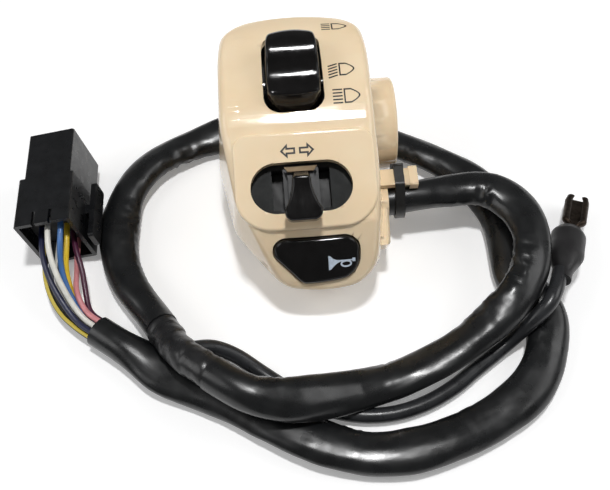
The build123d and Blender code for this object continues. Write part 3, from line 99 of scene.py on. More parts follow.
# Sizes of the loom's skin in metres, with the sides and rows of its tubes
SLEEVE_STEP = 0.0011
SLEEVE_SIDES = 40
SLEEVE_REST = 0.0050
SLEEVE_WALL = 0.0006
START_ROUND = 0.010
START_EASE = 0.022
END_ROUND = 0.006
END_EASE = 0.020
MOUTH_DEPTH = 0.005
PLEAT_HEIGHT = 0.00042
BRANCH_STEP = 0.0012
BRANCH_SIDES = 24
WIRE_STEP = 0.0009
WIRE_SIDES = 16
WIRE_TUCK = 0.004
TAPE_STEP = 0.00045
TAPE_SIDES = 40
TAPE_RADIUS = 0.0047
TAPE_WIDTH = 0.0085
TAPE_EDGE = 0.00032
BOOT_BACK = 0.0035
BOOT_SIDES = 36
BOOT_ROWS = 48
TERMINAL_SHEET = 0.0004
TERMINAL_ROWS = 40

# Shares, turns and counts that shape the loom's skin
SLEEVE_ROLL = math.radians(48)
BEND_PLACES = 6
BEND_PULL = 9
WIRE_GATHER = 0.04
TAPE_RUN_ON = 0.6

# Angles past which an edge stays sharp, and the distance within which a copy's corners are merged
TUBE_SHARP = math.radians(38)
FORM_SHARP = math.radians(34)
MERGE_DISTANCE = 0.000004

# Where a wire's stripe runs, in shares of the way round it
STRIPE_MIDDLE = 0.3
STRIPE_HALF_WIDTH = 0.11

# Sockets of the Mix node that carry colours
MIX_FIRST = 6
MIX_SECOND = 7
MIX_RESULT = 2


def tone(red, green, blue):
    """Linear colour from the values, 0 to 255, that a screen shows."""
    shares = [value / 255 for value in (red, green, blue)]
    return tuple(s / 12.92 if s <= 0.04045 else ((s + 0.055) / 1.055) ** 2.4 for s in shares)


def route(*points):
    """Points on the table in metres, from whole tenths of a millimetre."""
    return [tuple(value / 10000 for value in point) for point in points]


# Routes of the loom, each from the end that comes first on the way from the housing
HOUSING_SLEEVE_ROUTE = route(
    (177, -137, 149), (278, -130, 154), (398, -113, 161), (498, -102, 163), (578, -113, 164),
    (635, -155, 165), (673, -217, 165), (688, -293, 164), (682, -373, 164), (655, -453, 164),
    (610, -523, 162), (545, -583, 148), (457, -639, 108), (348, -693, 68), (208, -745, 54),
    (67, -779, 70), (-53, -811, 116), (-152, -833, 156), (-249, -817, 166), (-323, -773, 164),
    (-376, -729, 160),
)
JOINT_ROUTE = route(
    (-376, -729, 160), (-430, -685, 156), (-480, -635, 138), (-515, -572, 102), (-545, -519, 82),
)
PLUG_SLEEVE_ROUTE = route(
    (-545, -519, 82), (-578, -461, 60), (-636, -377, 54), (-683, -289, 53), (-708, -182, 53),
    (-712, -62, 53), (-691, 47, 53), (-639, 143, 53), (-553, 219, 53), (-432, 277, 53),
    (-283, 315, 53), (-112, 329, 53), (57, 305, 53), (208, 251, 53), (338, 183, 53),
    (444, 115, 53), (527, 41, 53), (585, -39, 53), (616, -133, 53), (628, -237, 53),
    (630, -333, 53), (633, -409, 53), (663, -475, 53), (702, -533, 53), (706, -607, 53),
    (682, -687, 53), (642, -767, 53), (575, -837, 53), (481, -895, 53), (367, -943, 53),
    (248, -976, 53), (131, -987, 53), (18, -965, 53), (-112, -907, 53), (-312, -795, 53),
    (-563, -641, 53), (-688, -553, 53), (-759, -497, 53),
)
BRANCH_ROUTE = route(
    (-473, -643, 146), (-403, -613, 128), (-316, -631, 88), (-236, -683, 46), (-152, -745, 28),
    (-63, -805, 27), (43, -847, 27), (158, -855, 27), (267, -831, 27), (370, -781, 27),
    (442, -727, 27), (510, -681, 27), (561, -647, 36), (605, -623, 68), (645, -603, 110),
    (689, -577, 141), (717, -539, 150), (742, -491, 141), (762, -442, 128),
)

# Wires, each with its paint, its stripe where it has one, and its route from the plug to the sleeve
WIRES = {
    "white": (tone(226, 224, 216), None, route(
        (-912, -141, 208), (-912, -217, 204), (-897, -298, 168), (-862, -377, 120),
        (-813, -453, 75), (-760, -496, 75),
    )),
    "blue": (tone(66, 112, 172), None, route(
        (-867, -141, 216), (-869, -213, 202), (-877, -294, 142), (-853, -373, 91),
        (-806, -444, 53), (-752, -487, 53),
    )),
    "yellow": (tone(232, 196, 48), None, route(
        (-858, -141, 169), (-858, -209, 158), (-869, -292, 104), (-847, -370, 56),
        (-800, -436, 31), (-745, -479, 31),
    )),
    "purple": (tone(74, 26, 54), None, route(
        (-849, -141, 122), (-840, -207, 120), (-815, -281, 98), (-806, -355, 68), (-793, -426, 53),
        (-738, -469, 53),
    )),
    "pink": (tone(212, 138, 142), None, route(
        (-842, -141, 75), (-843, -207, 76), (-838, -284, 76), (-833, -363, 95), (-800, -436, 75),
        (-745, -479, 75),
    )),
    "offwhite": (tone(214, 208, 190), None, route(
        (-887, -141, 67), (-887, -213, 67), (-887, -296, 56), (-864, -380, 41), (-813, -453, 31),
        (-760, -496, 31),
    )),
    "black_pale": (tone(26, 26, 27), tone(190, 188, 178), route(
        (-895, -141, 114), (-897, -215, 114), (-902, -300, 96), (-873, -384, 74), (-820, -462, 53),
        (-767, -505, 53),
    )),
    "navy": (tone(32, 36, 66), None, route(
        (-948, -141, 153), (-945, -219, 152), (-925, -305, 134), (-883, -389, 106),
        (-828, -470, 75), (-773, -513, 75),
    )),
    "black_yellow": (tone(26, 26, 27), tone(206, 184, 70), route(
        (-940, -141, 106), (-947, -229, 100), (-935, -333, 80), (-892, -421, 60), (-834, -480, 53),
        (-780, -523, 53),
    )),
    "grey": (tone(112, 116, 120), None, route(
        (-932, -141, 59), (-938, -231, 52), (-928, -331, 38), (-888, -413, 31), (-828, -470, 31),
        (-773, -513, 31),
    )),
}

# Settings

COLOUR = {"subtype": "COLOR", "min": 0, "max": 1}
LENGTH = {"unit": "LENGTH", "subtype": "DISTANCE"}
SHARE = {"subtype": "FACTOR", "min": 0, "max": 1}


class CLUSTER_PG_colours(bpy.types.PropertyGroup):
    """Colours of the cluster's pieces."""

    housing: FloatVectorProperty(
        name="Housing", description="Cream of the moulded housing",
        default=tone(244, 222, 188), **COLOUR,
    )
    housing_deep: FloatVectorProperty(
        name="Housing, deeper", description="Slightly warmer cream that clouds the housing",
        default=tone(240, 215, 178), **COLOUR,
    )
    switch: FloatVectorProperty(
        name="Switches", description="Black of the rocker, knob and horn button",
        default=tone(14, 13, 13), **COLOUR,
    )
    plate: FloatVectorProperty(
        name="Oval plate", description="Dark grey of the plate round the turn knob",
        default=tone(30, 32, 32), **COLOUR,
    )
    sign: FloatVectorProperty(
        name="Signs", description="Print of the lamp signs and arrows",
        default=tone(16, 13, 11), **COLOUR,
    )
    horn_sign: FloatVectorProperty(
        name="Horn sign", description="Print of the horn sign",
        default=tone(186, 198, 212), **COLOUR,
    )
    sleeve: FloatVectorProperty(
        name="Sleeve", description="Black of the loom's sleeves",
        default=tone(13, 14, 15), **COLOUR,
    )
    plug: FloatVectorProperty(
        name="Plug", description="Black of the plug",
        default=tone(16, 17, 19), **COLOUR,
    )


class CLUSTER_PG_sizes(bpy.types.PropertyGroup):
    """Sizes of the dressing, and how far it rounds the forms of the solids."""

    sleeve_width: FloatProperty(
        name="Sleeve width", description="Width of a loom sleeve where it lies flattened",
        default=0.0136, min=0.008, max=0.016, **LENGTH,
    )
    sleeve_height: FloatProperty(
        name="Sleeve height", description="Height of a loom sleeve where it lies flattened",
        default=0.0080, min=0.006, max=0.014, **LENGTH,
    )
    branch_width: FloatProperty(
        name="Branch width", description="Diameter of the single branch",
        default=0.0048, min=0.003, max=0.008, **LENGTH,
    )
    wire_width: FloatProperty(
        name="Wire width", description="Diameter of a wire over its insulation",
        default=0.0019, min=0.001, max=0.003, **LENGTH,
    )
    crown_rounding: FloatProperty(
        name="Crown rounding", description="How far the crown's corners are drawn in",
        default=0.5, **SHARE,
    )
    chin_rounding: FloatProperty(
        name="Chin rounding", description="How far the chin's corners are drawn in",
        default=0.42, **SHARE,
    )
    undercut: FloatProperty(
        name="Undercut", description="How far the chin slopes back below its face",
        default=0.5, **SHARE,
    )
    rocker_rounding: FloatProperty(
        name="Rocker rounding", description="How far the corners of the rocker's plan are drawn in",
        default=0.55, **SHARE,
    )
    knob_reach: FloatProperty(
        name="Knob reach", description="How much further the knob's grip runs out over the pad",
        default=0.0024, min=0, max=0.005, **LENGTH,
    )
    knob_start: FloatProperty(
        name="Knob start", description="How much lower the knob's grip starts on the pad",
        default=0.0022, min=0, max=0.004, **LENGTH,
    )
    sign_stroke: FloatProperty(
        name="Sign stroke", description="Width of a line of the signs",
        default=0.0005, min=0.0001, max=0.001, **LENGTH,
    )
    sign_lift: FloatProperty(
        name="Sign lift", description="Thickness of the print over the surface",
        default=0.00004, min=0.00001, max=0.0002, **LENGTH,
    )


class CLUSTER_PG_stage(bpy.types.PropertyGroup):
    """Camera lens, lamps, floor and sky."""

    lens: FloatProperty(
        name="Lens", description="Focal length of the camera",
        default=51.93, min=20, max=200, unit="CAMERA",
    )
    key_power: FloatProperty(
        name="Key lamp", description="Power of the small softbox overhead",
        default=5.4, min=0, max=100, unit="POWER",
    )
    fill_power: FloatProperty(
        name="Fill lamps", description="Power of each large softbox at the sides",
        default=4.4, min=0, max=100, unit="POWER",
    )
    floor_lift: FloatProperty(
        name="Floor lift", description="How much whiter than its paint the floor shows to the camera",
        default=0.2, min=0, max=1,
    )
    sky: FloatProperty(
        name="Sky", description="Strength of the even light from all round",
        default=0.15, min=0, max=2,
    )


# Materials

def add_node(tree, kind, values=None, links=None, **settings):
    """Shader node whose sockets hold the given values or take the given links."""
    node = tree.nodes.new(kind)
    for name, value in settings.items():
        setattr(node, name, value)
    for socket, value in (values or {}).items():
        node.inputs[socket].default_value = value
    for socket, source in (links or {}).items():
        tree.links.new(source, node.inputs[socket])
    return node


def new_surface(name, colour, roughness, sockets=None):
    """Material whose constants stand on the shader's own sockets."""
    material = bpy.data.materials.new(name)
    material.use_nodes = True
    shader = material.node_tree.nodes["Principled BSDF"]
    values = {"Base Color": (*colour, 1), "Roughness": roughness, **(sockets or {})}
    for socket, value in values.items():
        shader.inputs[socket].default_value = value
    return material, material.node_tree, shader


def field(tree, scale, detail=3.0, stretch=(1, 1, 1), source="Object"):
    """Noise over the piece, its size set by the scale per metre."""
    place = add_node(tree, "ShaderNodeTexCoord")
    mapping = add_node(
        tree, "ShaderNodeMapping", {"Scale": stretch}, {"Vector": place.outputs[source]},
    )
    pattern = add_node(
        tree, "ShaderNodeTexNoise", {"Scale": scale, "Detail": detail},
        {"Vector": mapping.outputs["Vector"]},
    )
    return pattern.outputs["Fac"]


def between(tree, factor, stops):
    """Colour that follows a factor through (place, colour) stops."""
    ramp = add_node(tree, "ShaderNodeValToRGB", links={"Fac": factor})
    elements = ramp.color_ramp.elements
    while len(elements) < len(stops):
        elements.new(0.5)
    for element, (place, colour) in zip(elements, stops):
        element.position = place
        element.color = (*colour, 1)
    return ramp.outputs["Color"]


def spread(tree, factor, low, high):
    """Value that follows a factor between two limits."""
    values = {"From Min": 0.3, "From Max": 0.7, "To Min": low, "To Max": high}
    return add_node(tree, "ShaderNodeMapRange", values, {"Value": factor}).outputs["Result"]


def relief(tree, shader, height, depth, strength, below):
    """Bump of a given depth in metres, laid over an earlier one where there is one."""
    bump = add_node(
        tree, "ShaderNodeBump", {"Strength": strength, "Distance": depth}, {"Height": height},
    )
    if below is not None:
        tree.links.new(below, bump.inputs["Normal"])
    tree.links.new(bump.outputs["Normal"], shader.inputs["Normal"])
    return bump.outputs["Normal"]


def shade(colour, factor):
    """A colour made lighter or darker."""
    return tuple(min(1.0, value * factor) for value in colour)


def surface(name, colour, roughness, clouds, stops, sheen=None, grains=(), sockets=None):
    """Material with a clouded colour, an uneven gloss and layers of fine relief.

    clouds holds what field takes. sheen holds the same and then its lowest and highest
    roughness, and each of grains the same and then its depth and strength.
    """
    material, tree, shader = new_surface(name, colour, roughness, sockets)
    tree.links.new(between(tree, field(tree, *clouds), stops), shader.inputs["Base Color"])
    if sheen is not None:
        pattern, low, high = sheen
        tree.links.new(spread(tree, field(tree, *pattern), low, high), shader.inputs["Roughness"])
    below = None
    for pattern, depth, strength in grains:
        below = relief(tree, shader, field(tree, *pattern), depth, strength, below)
    return material


def second_colour(material, share):
    """Socket for a second colour, which shows over the first by a share from 0 to 1."""
    tree = material.node_tree
    base = tree.nodes["Principled BSDF"].inputs["Base Color"]
    links = {"Factor": share, MIX_FIRST: base.links[0].from_socket}
    mix = add_node(tree, "ShaderNodeMix", links=links, data_type="RGBA")
    tree.links.new(mix.outputs[MIX_RESULT], base)
    return mix.inputs[MIX_SECOND]


def moulded_cream(colours):
    """Glossy cream moulding with soft clouding and orange peel."""
    light = tuple(colours.housing)
    stops = [(0.3, tuple(colours.housing_deep)), (0.62, light), (0.75, shade(light, 1.02))]
    sheen = ((240,), 0.07, 0.13)
    peel = [((900, 2.0), 0.00002, 0.35), ((90, 1.0), 0.0001, 0.12)]
    depth = {"Specular IOR Level": 0.5, "Subsurface Weight": 0.04, "Subsurface Scale": 0.002}
    return surface("moulded_cream", light, 0.1, (55,), stops, sheen, peel, depth)


def switch_black(colours):
    """Smooth black moulding of the rocker, knob and horn button, with faint rubbing."""
    black = tuple(colours.switch)
    stops = [(0.35, black), (0.8, shade(black, 1.8))]
    rubbing = ((420, 6.0, (1, 0.15, 1)), 0.08, 0.16)
    grain = [((1400, 2.0), 0.00002, 0.25)]
    shine = {"Specular IOR Level": 0.3}
    return surface("switch_black", black, 0.12, (260, 5.0), stops, rubbing, grain, shine)


def plate_grey(colours):
    """Matte dark grey of the oval plate, finely grained."""
    grey = tuple(colours.plate)
    stops = [(0.35, shade(grey, 0.85)), (0.7, shade(grey, 1.15))]
    sheen = ((300,), 0.42, 0.56)
    grain = [((5200, 2.0), 0.00004, 0.5)]
    shine = {"Specular IOR Level": 0.18}
    return surface("plate_grey", grey, 0.5, (1500, 4.0), stops, sheen, grain, shine)


def plain_black(name, colour, roughness, grain):
    """Black moulding with a grain of the given scale."""
    stops = [(0.3, shade(colour, 0.8)), (0.75, shade(colour, 1.5))]
    sheen = ((320, 5.0), roughness * 0.8, min(1.0, roughness * 1.25))
    fine = [((grain, 2.0), 0.00004, 0.4)]
    return surface(name, colour, roughness, (180, 4.0), stops, sheen, fine)


def carriage_black():
    """Black of the turn carriage, whose sloped shield above the plate carries a painted tan reflection
    of the cream housing.
    """
    black = tone(24, 24, 26)
    stops = [(0.3, tone(20, 20, 22)), (0.75, tone(32, 32, 34))]
    sheen = ((320, 5.0), 0.36, 0.5)
    grain = [((1600, 2.0), 0.00004, 0.4)]
    material = surface("carriage_moulding", black, 0.45, (180, 4.0), stops, sheen, grain)
    tree = material.node_tree
    up = HOUSING.to_3x3() @ PAD_UP
    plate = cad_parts["turn_bezel"].data.vertices
    level = max(up.dot(vertex.co) for vertex in plate) + PAINTED_REFLECTION_START * MM
    place = add_node(tree, "ShaderNodeTexCoord").outputs["Object"]
    height = add_node(
        tree, "ShaderNodeVectorMath", {1: up}, {0: place}, operation="DOT_PRODUCT",
    )
    above = add_node(
        tree, "ShaderNodeMapRange", {"From Min": level, "From Max": level + PAINTED_REFLECTION_EDGE * MM},
        {"Value": height.outputs["Value"]},
    )
    # Painted reflection: tan tones on the shield above the plate's height stand in for the cream
    # housing mirrored in the glossy slope
    painted_reflection_tans = [(0.3, tone(120, 102, 80)), (0.75, tone(152, 132, 106))]
    shield = second_colour(material, above.outputs["Result"])
    tree.links.new(between(tree, field(tree, 420, 4.0), painted_reflection_tans), shield)
    return material


def metal(name, colour, roughness, stain):
    """Metal with fine brushing and stains."""
    stops = [(0.35, shade(colour, stain)), (0.65, colour)]
    brushed = (900, 4.0, (1, 1, 0.1))
    sheen = (brushed, roughness * 0.7, roughness * 1.3)
    grain = [(brushed, 0.00002, 0.3)]
    return surface(name, colour, roughness, (700, 5.0), stops, sheen, grain, {"Metallic": 1.0})


def sleeve_vinyl(colours):
    """Soft black sleeve: satin gloss, lengthwise creases and a grey bloom."""
    black = tuple(colours.sleeve)
    bloom = [(0.35, black), (0.72, shade(black, 2.0))]
    sheen = ((150, 3.0), 0.22, 0.38)
    creases = [((1.0, 2.0, (70, 7, 1), "UV"), 0.0004, 0.45), ((2600, 2.0), 0.00002, 0.3)]
    shine = {"Specular IOR Level": 0.55}
    return surface("sleeve_vinyl", black, 0.3, (110, 4.0), bloom, sheen, creases, shine)


def tape_black():
    """Glossy black tape, wrinkled across."""
    black = tone(24, 24, 25)
    stops = [(0.3, black), (0.7, shade(black, 1.7))]
    sheen = ((260,), 0.22, 0.4)
    wrinkles = [((1.0, 3.0, (900, 5, 1), "UV"), 0.0002, 0.5)]
    return surface("tape_black", black, 0.3, (200, 4.0), stops, sheen, wrinkles)


def insulation(name, colour, stripe):
    """Glossy insulation of a wire, with a lengthwise stripe where one is given."""
    stops = [(0.3, shade(colour, 0.86)), (0.7, shade(colour, 1.06))]
    grain = [((1800, 2.0), 0.00002, 0.3)]
    material = surface(name, colour, 0.34, (350, 3.0), stops, None, grain)
    if stripe is not None:
        tree = material.node_tree
        place = add_node(tree, "ShaderNodeTexCoord").outputs["UV"]
        parts = add_node(tree, "ShaderNodeSeparateXYZ", links={"Vector": place})
        band = add_node(
            tree, "ShaderNodeMath", {1: STRIPE_MIDDLE, 2: STRIPE_HALF_WIDTH},
            {0: parts.outputs["Y"]}, operation="COMPARE",
        )
        second_colour(material, band.outputs["Value"]).default_value = (*stripe, 1)
    return material


def print_ink(name, colour):
    """Pad-printed ink, a little worn."""
    stops = [(0.3, shade(colour, 1.25)), (0.6, colour)]
    return surface(name, colour, 0.5, (1600, 4.0), stops, None, [((4000, 2.0), 0.00001, 0.3)])


def dress(node, material):
    """Gives a solid of the cluster a finish."""
    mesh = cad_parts[node].data
    mesh.materials.clear()
    mesh.materials.append(material)


# Lines and tubes

def route_line(points):
    """Points of the smooth line that a route's control points draw."""
    curve = bpy.data.curves.new("route", "CURVE")
    curve.dimensions = "3D"
    curve.resolution_u = 16
    spline = curve.splines.new("NURBS")
    spline.points.add(len(points) - 1)
    for target, point in zip(spline.points, points):
        target.co = (*point, 1)
    spline.order_u = 3
    spline.use_endpoint_u = True
    holder = bpy.data.objects.new("route", curve)
    mesh = bpy.data.meshes.new_from_object(holder)
    line = [vertex.co.copy() for vertex in mesh.vertices]
    bpy.data.objects.remove(holder)
    bpy.data.curves.remove(curve)
    bpy.data.meshes.remove(mesh)
    return line


def stations(line, step):
    """Evenly spaced places along a line, and its length."""
    distances = [0.0]
    for before, after in zip(line, line[1:]):
        distances.append(distances[-1] + (after - before).length)
    total = distances[-1]
    count = max(2, round(total / step))
    places = []
    index = 0
    for number in range(count + 1):
        along = total * number / count
        while index < len(line) - 2 and distances[index + 1] < along:
            index += 1
        run = distances[index + 1] - distances[index]
        share = (along - distances[index]) / run if run else 0
        places.append(line[index].lerp(line[index + 1], min(1.0, share)))
    return places, total


def frames(places):
    """Side and upward directions at each place of a line that never stands upright."""
    pairs = []
    for index, place in enumerate(places):
        before = places[max(0, index - 1)]
        after = places[min(len(places) - 1, index + 1)]
        ahead = (after - before).normalized()
        side = ahead.cross(Vector((0, 0, 1))).normalized()
        pairs.append((side, side.cross(ahead)))
    return pairs


def tube(name, places, rings, total):
    """Closed tube through rings of (side, up) offsets, with a UV map along and around it."""
    sides = len(rings[0])
    vertices = []
    for place, (side, up), ring in zip(places, frames(places), rings):
        vertices.extend(place + side * x + up * y for x, y in ring)
    faces = []
    coordinates = []
    for row in range(len(rings) - 1):
        low = total * row / (len(rings) - 1)
        high = total * (row + 1) / (len(rings) - 1)
        near = row * sides
        far = near + sides
        for column in range(sides):
            following = (column + 1) % sides
            left = column / sides
            right = (column + 1) / sides
            faces.append((near + column, near + following, far + following, far + column))
            coordinates.extend([(low, left), (low, right), (high, right), (high, left)])
    last = (len(rings) - 1) * sides
    faces.append(tuple(reversed(range(sides))))
    faces.append(tuple(range(last, last + sides)))
    coordinates.extend([(0, 0)] * sides + [(total, 0)] * sides)
    mesh = bpy.data.meshes.new(name)
    mesh.from_pydata(vertices, [], faces)
    layer = mesh.uv_layers.new(name="along")
    for loop, coordinate in zip(layer.data, coordinates):
        loop.uv = coordinate
    piece = bpy.data.objects.new(name, mesh)
    bpy.context.scene.collection.objects.link(piece)
    outward(piece)
    return piece


def select_only(piece):
    """Makes one piece the only one selected, and active."""
    bpy.ops.object.select_all(action="DESELECT")
    piece.select_set(True)
    bpy.context.view_layer.objects.active = piece


def outward(piece):
    """Turns the faces outwards and smooths them."""
    select_only(piece)
    bpy.ops.object.mode_set(mode="EDIT")
    bpy.ops.mesh.select_all(action="SELECT")
    bpy.ops.mesh.normals_make_consistent(inside=False)
    bpy.ops.object.mode_set(mode="OBJECT")
    bpy.ops.object.shade_smooth_by_angle(angle=TUBE_SHARP)


def finish_piece(piece, material, body="housing"):
    """Gives a new piece its material and sets it on its body."""
    piece.data.materials.clear()
    piece.data.materials.append(material)
    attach(piece, body)


def ease(value):
    """Smooth step between 0 and 1."""
    value = max(0.0, min(1.0, value))
    return value * value * (3 - 2 * value)


def wobble(*place):
    """Smooth noise at a place, between -1 and 1 and always the same there."""
    return noise.noise(Vector(place))


def turns(count):
    """Angles evenly spaced round a circle."""
    return [2 * math.pi * number / count for number in range(count)]


def oval(wide, tall, sides):
    """Ring of (side, up) offsets round an oval."""
    return [(wide * math.cos(angle), tall * math.sin(angle)) for angle in turns(sides)]


# Pieces of the loom

def sleeve_rings(places, total, seed, sizes, round_start, round_end):
    """Rings of a soft flattened sleeve, with rolling folds and creases inside its bends."""
    rings = []
    pairs = frames(places)
    count = len(places)
    for index, place in enumerate(places):
        along = total * index / (count - 1)
        flat = ease((along - START_ROUND) / START_EASE)
        radius = round_start
        if along > total / 2:
            flat = min(flat, ease((total - along - END_ROUND) / END_EASE))
            radius = round_end
        before = places[max(0, index - BEND_PLACES)]
        after = places[min(count - 1, index + BEND_PLACES)]
        bend = (after - place).normalized() - (place - before).normalized()
        bend_side = bend.dot(pairs[index][0]) * BEND_PULL
        roll = SLEEVE_ROLL * wobble(along * 24, seed, 0.5) * flat
        breadth = (sizes.sleeve_width / 2) * (1 + 0.22 * wobble(along * 42, seed, 3.1))
        depth = (sizes.sleeve_height / 2) * (1 + 0.10 * wobble(along * 36, seed, 7.7))
        breadth = radius + (breadth - radius) * flat
        depth = radius + (depth - radius) * flat
        patch = ease(0.5 + 1.6 * wobble(along * 55, seed, 9.4))
        ring = []
        for angle in turns(SLEEVE_SIDES):
            across = math.cos(angle)
            over = math.sin(angle)
            fold = wobble(across * 1.6 + seed, over * 1.6, along * 60)
            crease = wobble(across * 3.4, over * 3.4 + seed, along * 150)
            ridge = 1 - abs(wobble(across * 0.9 + seed, over * 1.1, along * 330)) * 3.2
            inner = min(1.0, max(0.0, 0.15 + across * bend_side))
            pleat = inner * patch * ridge * PLEAT_HEIGHT * flat
            swell = 1 + (0.055 * fold + 0.022 * crease) * flat
            x = across * breadth * swell + pleat * across
            y = over * depth * swell + pleat * over
            ring.append((
                x * math.cos(roll) - y * math.sin(roll),
                x * math.sin(roll) + y * math.cos(roll),
            ))
        slack = max(0.0, SLEEVE_REST + min(y for x, y in ring)) * flat
        rings.append([(x, y - slack) for x, y in ring])
    return rings


def open_end(places, rings, at_end):
    """Turns a tube's end into a cut mouth: the wall turns in and runs back inside."""
    if at_end:
        places.reverse()
        rings.reverse()
    mouth = places[0]
    ahead = (places[1] - mouth).normalized()
    inner = []
    for x, y in rings[0]:
        length = math.hypot(x, y)
        inner.append((x * (length - SLEEVE_WALL) / length, y * (length - SLEEVE_WALL) / length))
    small = [(x * 0.96, y * 0.96) for x, y in inner]
    places[0:0] = [mouth + ahead * MOUTH_DEPTH, mouth + ahead * MOUTH_DEPTH * 0.3, mouth.copy()]
    rings[0:0] = [small, inner, inner]
    if at_end:
        places.reverse()
        rings.reverse()


def spread_sleeve(name, points, seed, sizes, round_start, round_end, open_start):
    """A soft sleeve along its route, with its radius at both ends, and its far end cut open."""
    line = route_line(points)
    places, total = stations(line, SLEEVE_STEP)
    rings = sleeve_rings(places, total, seed, sizes, round_start, round_end)
    if open_start:
        open_end(places, rings, False)
    open_end(places, rings, True)
    return tube(name, places, rings, total), line, total


def branch_tube(radius):
    """The thin branch along its route, a little uneven."""
    line = route_line(BRANCH_ROUTE)
    places, total = stations(line, BRANCH_STEP)
    rings = []
    for index in range(len(places)):
        along = total * index / (len(places) - 1)
        wide = radius * (1.06 + 0.05 * wobble(along * 45, 2.2, 0.3))
        tall = radius * (0.97 + 0.05 * wobble(along * 38, 8.2, 0.3))
        rings.append(oval(wide, tall, BRANCH_SIDES))
    return tube("branch_tube", places, rings, total), line, total


class CLUSTER_OT_sleeves(bpy.types.Operator):
    """Lays the two loom sleeves and the branch along their routes"""

    bl_idname = "cluster.sleeves"
    bl_label = "Sleeves"

    def execute(self, context):
        sizes = context.scene.cluster_sizes
        vinyl = sleeve_vinyl(context.scene.cluster_colours)
        first, line, total = spread_sleeve(
            "loom_sleeve_housing", HOUSING_SLEEVE_ROUTE, 1.7, sizes,
            round_start=0.005, round_end=0.0057, open_start=False,
        )
        finish_piece(first, vinyl)
        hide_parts("housing_sleeve")
        second, line, total = spread_sleeve(
            "loom_sleeve_plug", PLUG_SLEEVE_ROUTE, 5.3, sizes,
            round_start=0.0055, round_end=0.0052, open_start=True,
        )
        finish_piece(second, vinyl)
        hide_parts("plug_sleeve")
        branch, line, total = branch_tube(sizes.branch_width / 2)
        grey = plain_black("branch_vinyl", tone(34, 35, 37), 0.3, 1800)
        finish_piece(branch, grey)
        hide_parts("branch_sleeve")
        return {"FINISHED"}


def run_on(end, inner):
    """Place past the end of the joint's route, in line with its last run."""
    return tuple(Vector(end) * (1 + TAPE_RUN_ON) - Vector(inner) * TAPE_RUN_ON)


class CLUSTER_OT_joint(bpy.types.Operator):
    """Winds the tape round the joint of the sleeves"""

    bl_idname = "cluster.joint"
    bl_label = "Taped joint"

    def execute(self, context):
        first = run_on(JOINT_ROUTE[0], JOINT_ROUTE[1])
        last = run_on(JOINT_ROUTE[-1], JOINT_ROUTE[-2])
        places, total = stations(route_line([first, *JOINT_ROUTE[1:-1], last]), TAPE_STEP)
        rings = []
        for index in range(len(places)):
            along = total * index / (len(places) - 1)
            ring = []
            for number, angle in enumerate(turns(TAPE_SIDES)):
                across = math.cos(angle)
                over = math.sin(angle)
                lap = (along / TAPE_WIDTH + number / TAPE_SIDES) % 1.0
                edge = TAPE_EDGE * ease(1 - lap / 0.9 if lap < 0.9 else (lap - 0.9) / 0.1)
                ruck = 0.00016 * wobble(across * 2.5, over * 2.5, along * 420)
                lump = 0.0003 * wobble(along * 90, across, 4.4)
                radius = TAPE_RADIUS + edge + ruck + lump
                ring.append((radius * 1.1 * across, radius * 0.95 * over))
            rings.append(ring)
        wrap = tube("joint_tape_wrap", places, rings, total)
        finish_piece(wrap, tape_black())
        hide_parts("joint_tape")
        return {"FINISHED"}


class CLUSTER_OT_wires(bpy.types.Operator):
    """Lays the ten wires from the mouth of the sleeve to the plug"""

    bl_idname = "cluster.wires"
    bl_label = "Wires"

    def execute(self, context):
        radius = context.scene.cluster_sizes.wire_width / 2
        circle = oval(radius, radius, WIRE_SIDES)
        mouth = Vector(PLUG_SLEEVE_ROUTE[-1])
        inward = (Vector(PLUG_SLEEVE_ROUTE[-2]) - mouth).normalized()
        for colour, (paint, stripe, points) in WIRES.items():
            near = Vector(points[-1])
            start = near + inward * WIRE_TUCK - (near - mouth) * WIRE_GATHER
            points = [tuple(start), *reversed(points)]
            line = route_line(points)
            places, total = stations(line, WIRE_STEP)
            piece = tube("wire_" + colour + "_insulated", places, [circle] * len(places), total)
            finish_piece(piece, insulation("insulation_" + colour, paint, stripe))
            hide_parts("wire_" + colour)
        return {"FINISHED"}


def reach_of(node, toward):
    """Middle of a solid's box, the unit direction given, and how far the solid reaches along it."""
    low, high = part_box(node)
    middle = (Vector(low) + Vector(high)) / 2
    way = toward.normalized()
    points = [vertex.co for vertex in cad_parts[node].data.vertices]
    return middle, way, max(abs((point - middle).dot(way)) for point in points)


def crimp_ring(width, curl, fold):
    """Outline of a sheet whose two edges are rolled up and inwards, as (side, up) offsets."""
    flat = width / 2 - curl
    half = [(0.0, 0.0), (flat * 0.5, 0.0)]
    for n in range(9):
        angle = -math.pi / 2 + fold * n / 8
        half.append((flat + curl * math.cos(angle), curl + curl * math.sin(angle)))
    line = [(-x, y) for x, y in reversed(half[1:])] + half
    left = []
    right = []
    for index, (x, y) in enumerate(line):
        ax, ay = line[max(0, index - 1)]
        bx, by = line[min(len(line) - 1, index + 1)]
        length = math.hypot(bx - ax, by - ay)
        nx = -(by - ay) / length * TERMINAL_SHEET / 2
        ny = (bx - ax) / length * TERMINAL_SHEET / 2
        left.append((x + nx, y + ny))
        right.append((x - nx, y - ny))
    return left + list(reversed(right))


def crimped_terminal(toward):
    """Terminal of rolled sheet: a narrow crimp that opens out into a wider mouth with a lip."""
    middle, way, half = reach_of("branch_terminal", toward)
    places = []
    rings = []
    for n in range(TERMINAL_ROWS + 1):
        share = n / TERMINAL_ROWS
        places.append(middle + way * half * (2 * share - 1))
        opened = ease((share - 0.36) / 0.12)
        lip = 1 - 0.12 * ease((share - 0.9) / 0.1)
        width = (0.0030 + 0.0050 * opened) * lip
        curl = 0.0009 + 0.0003 * opened
        rings.append(crimp_ring(width, curl, math.radians(300 - 70 * opened)))
    return tube("crimped_terminal", places, rings, 2 * half)


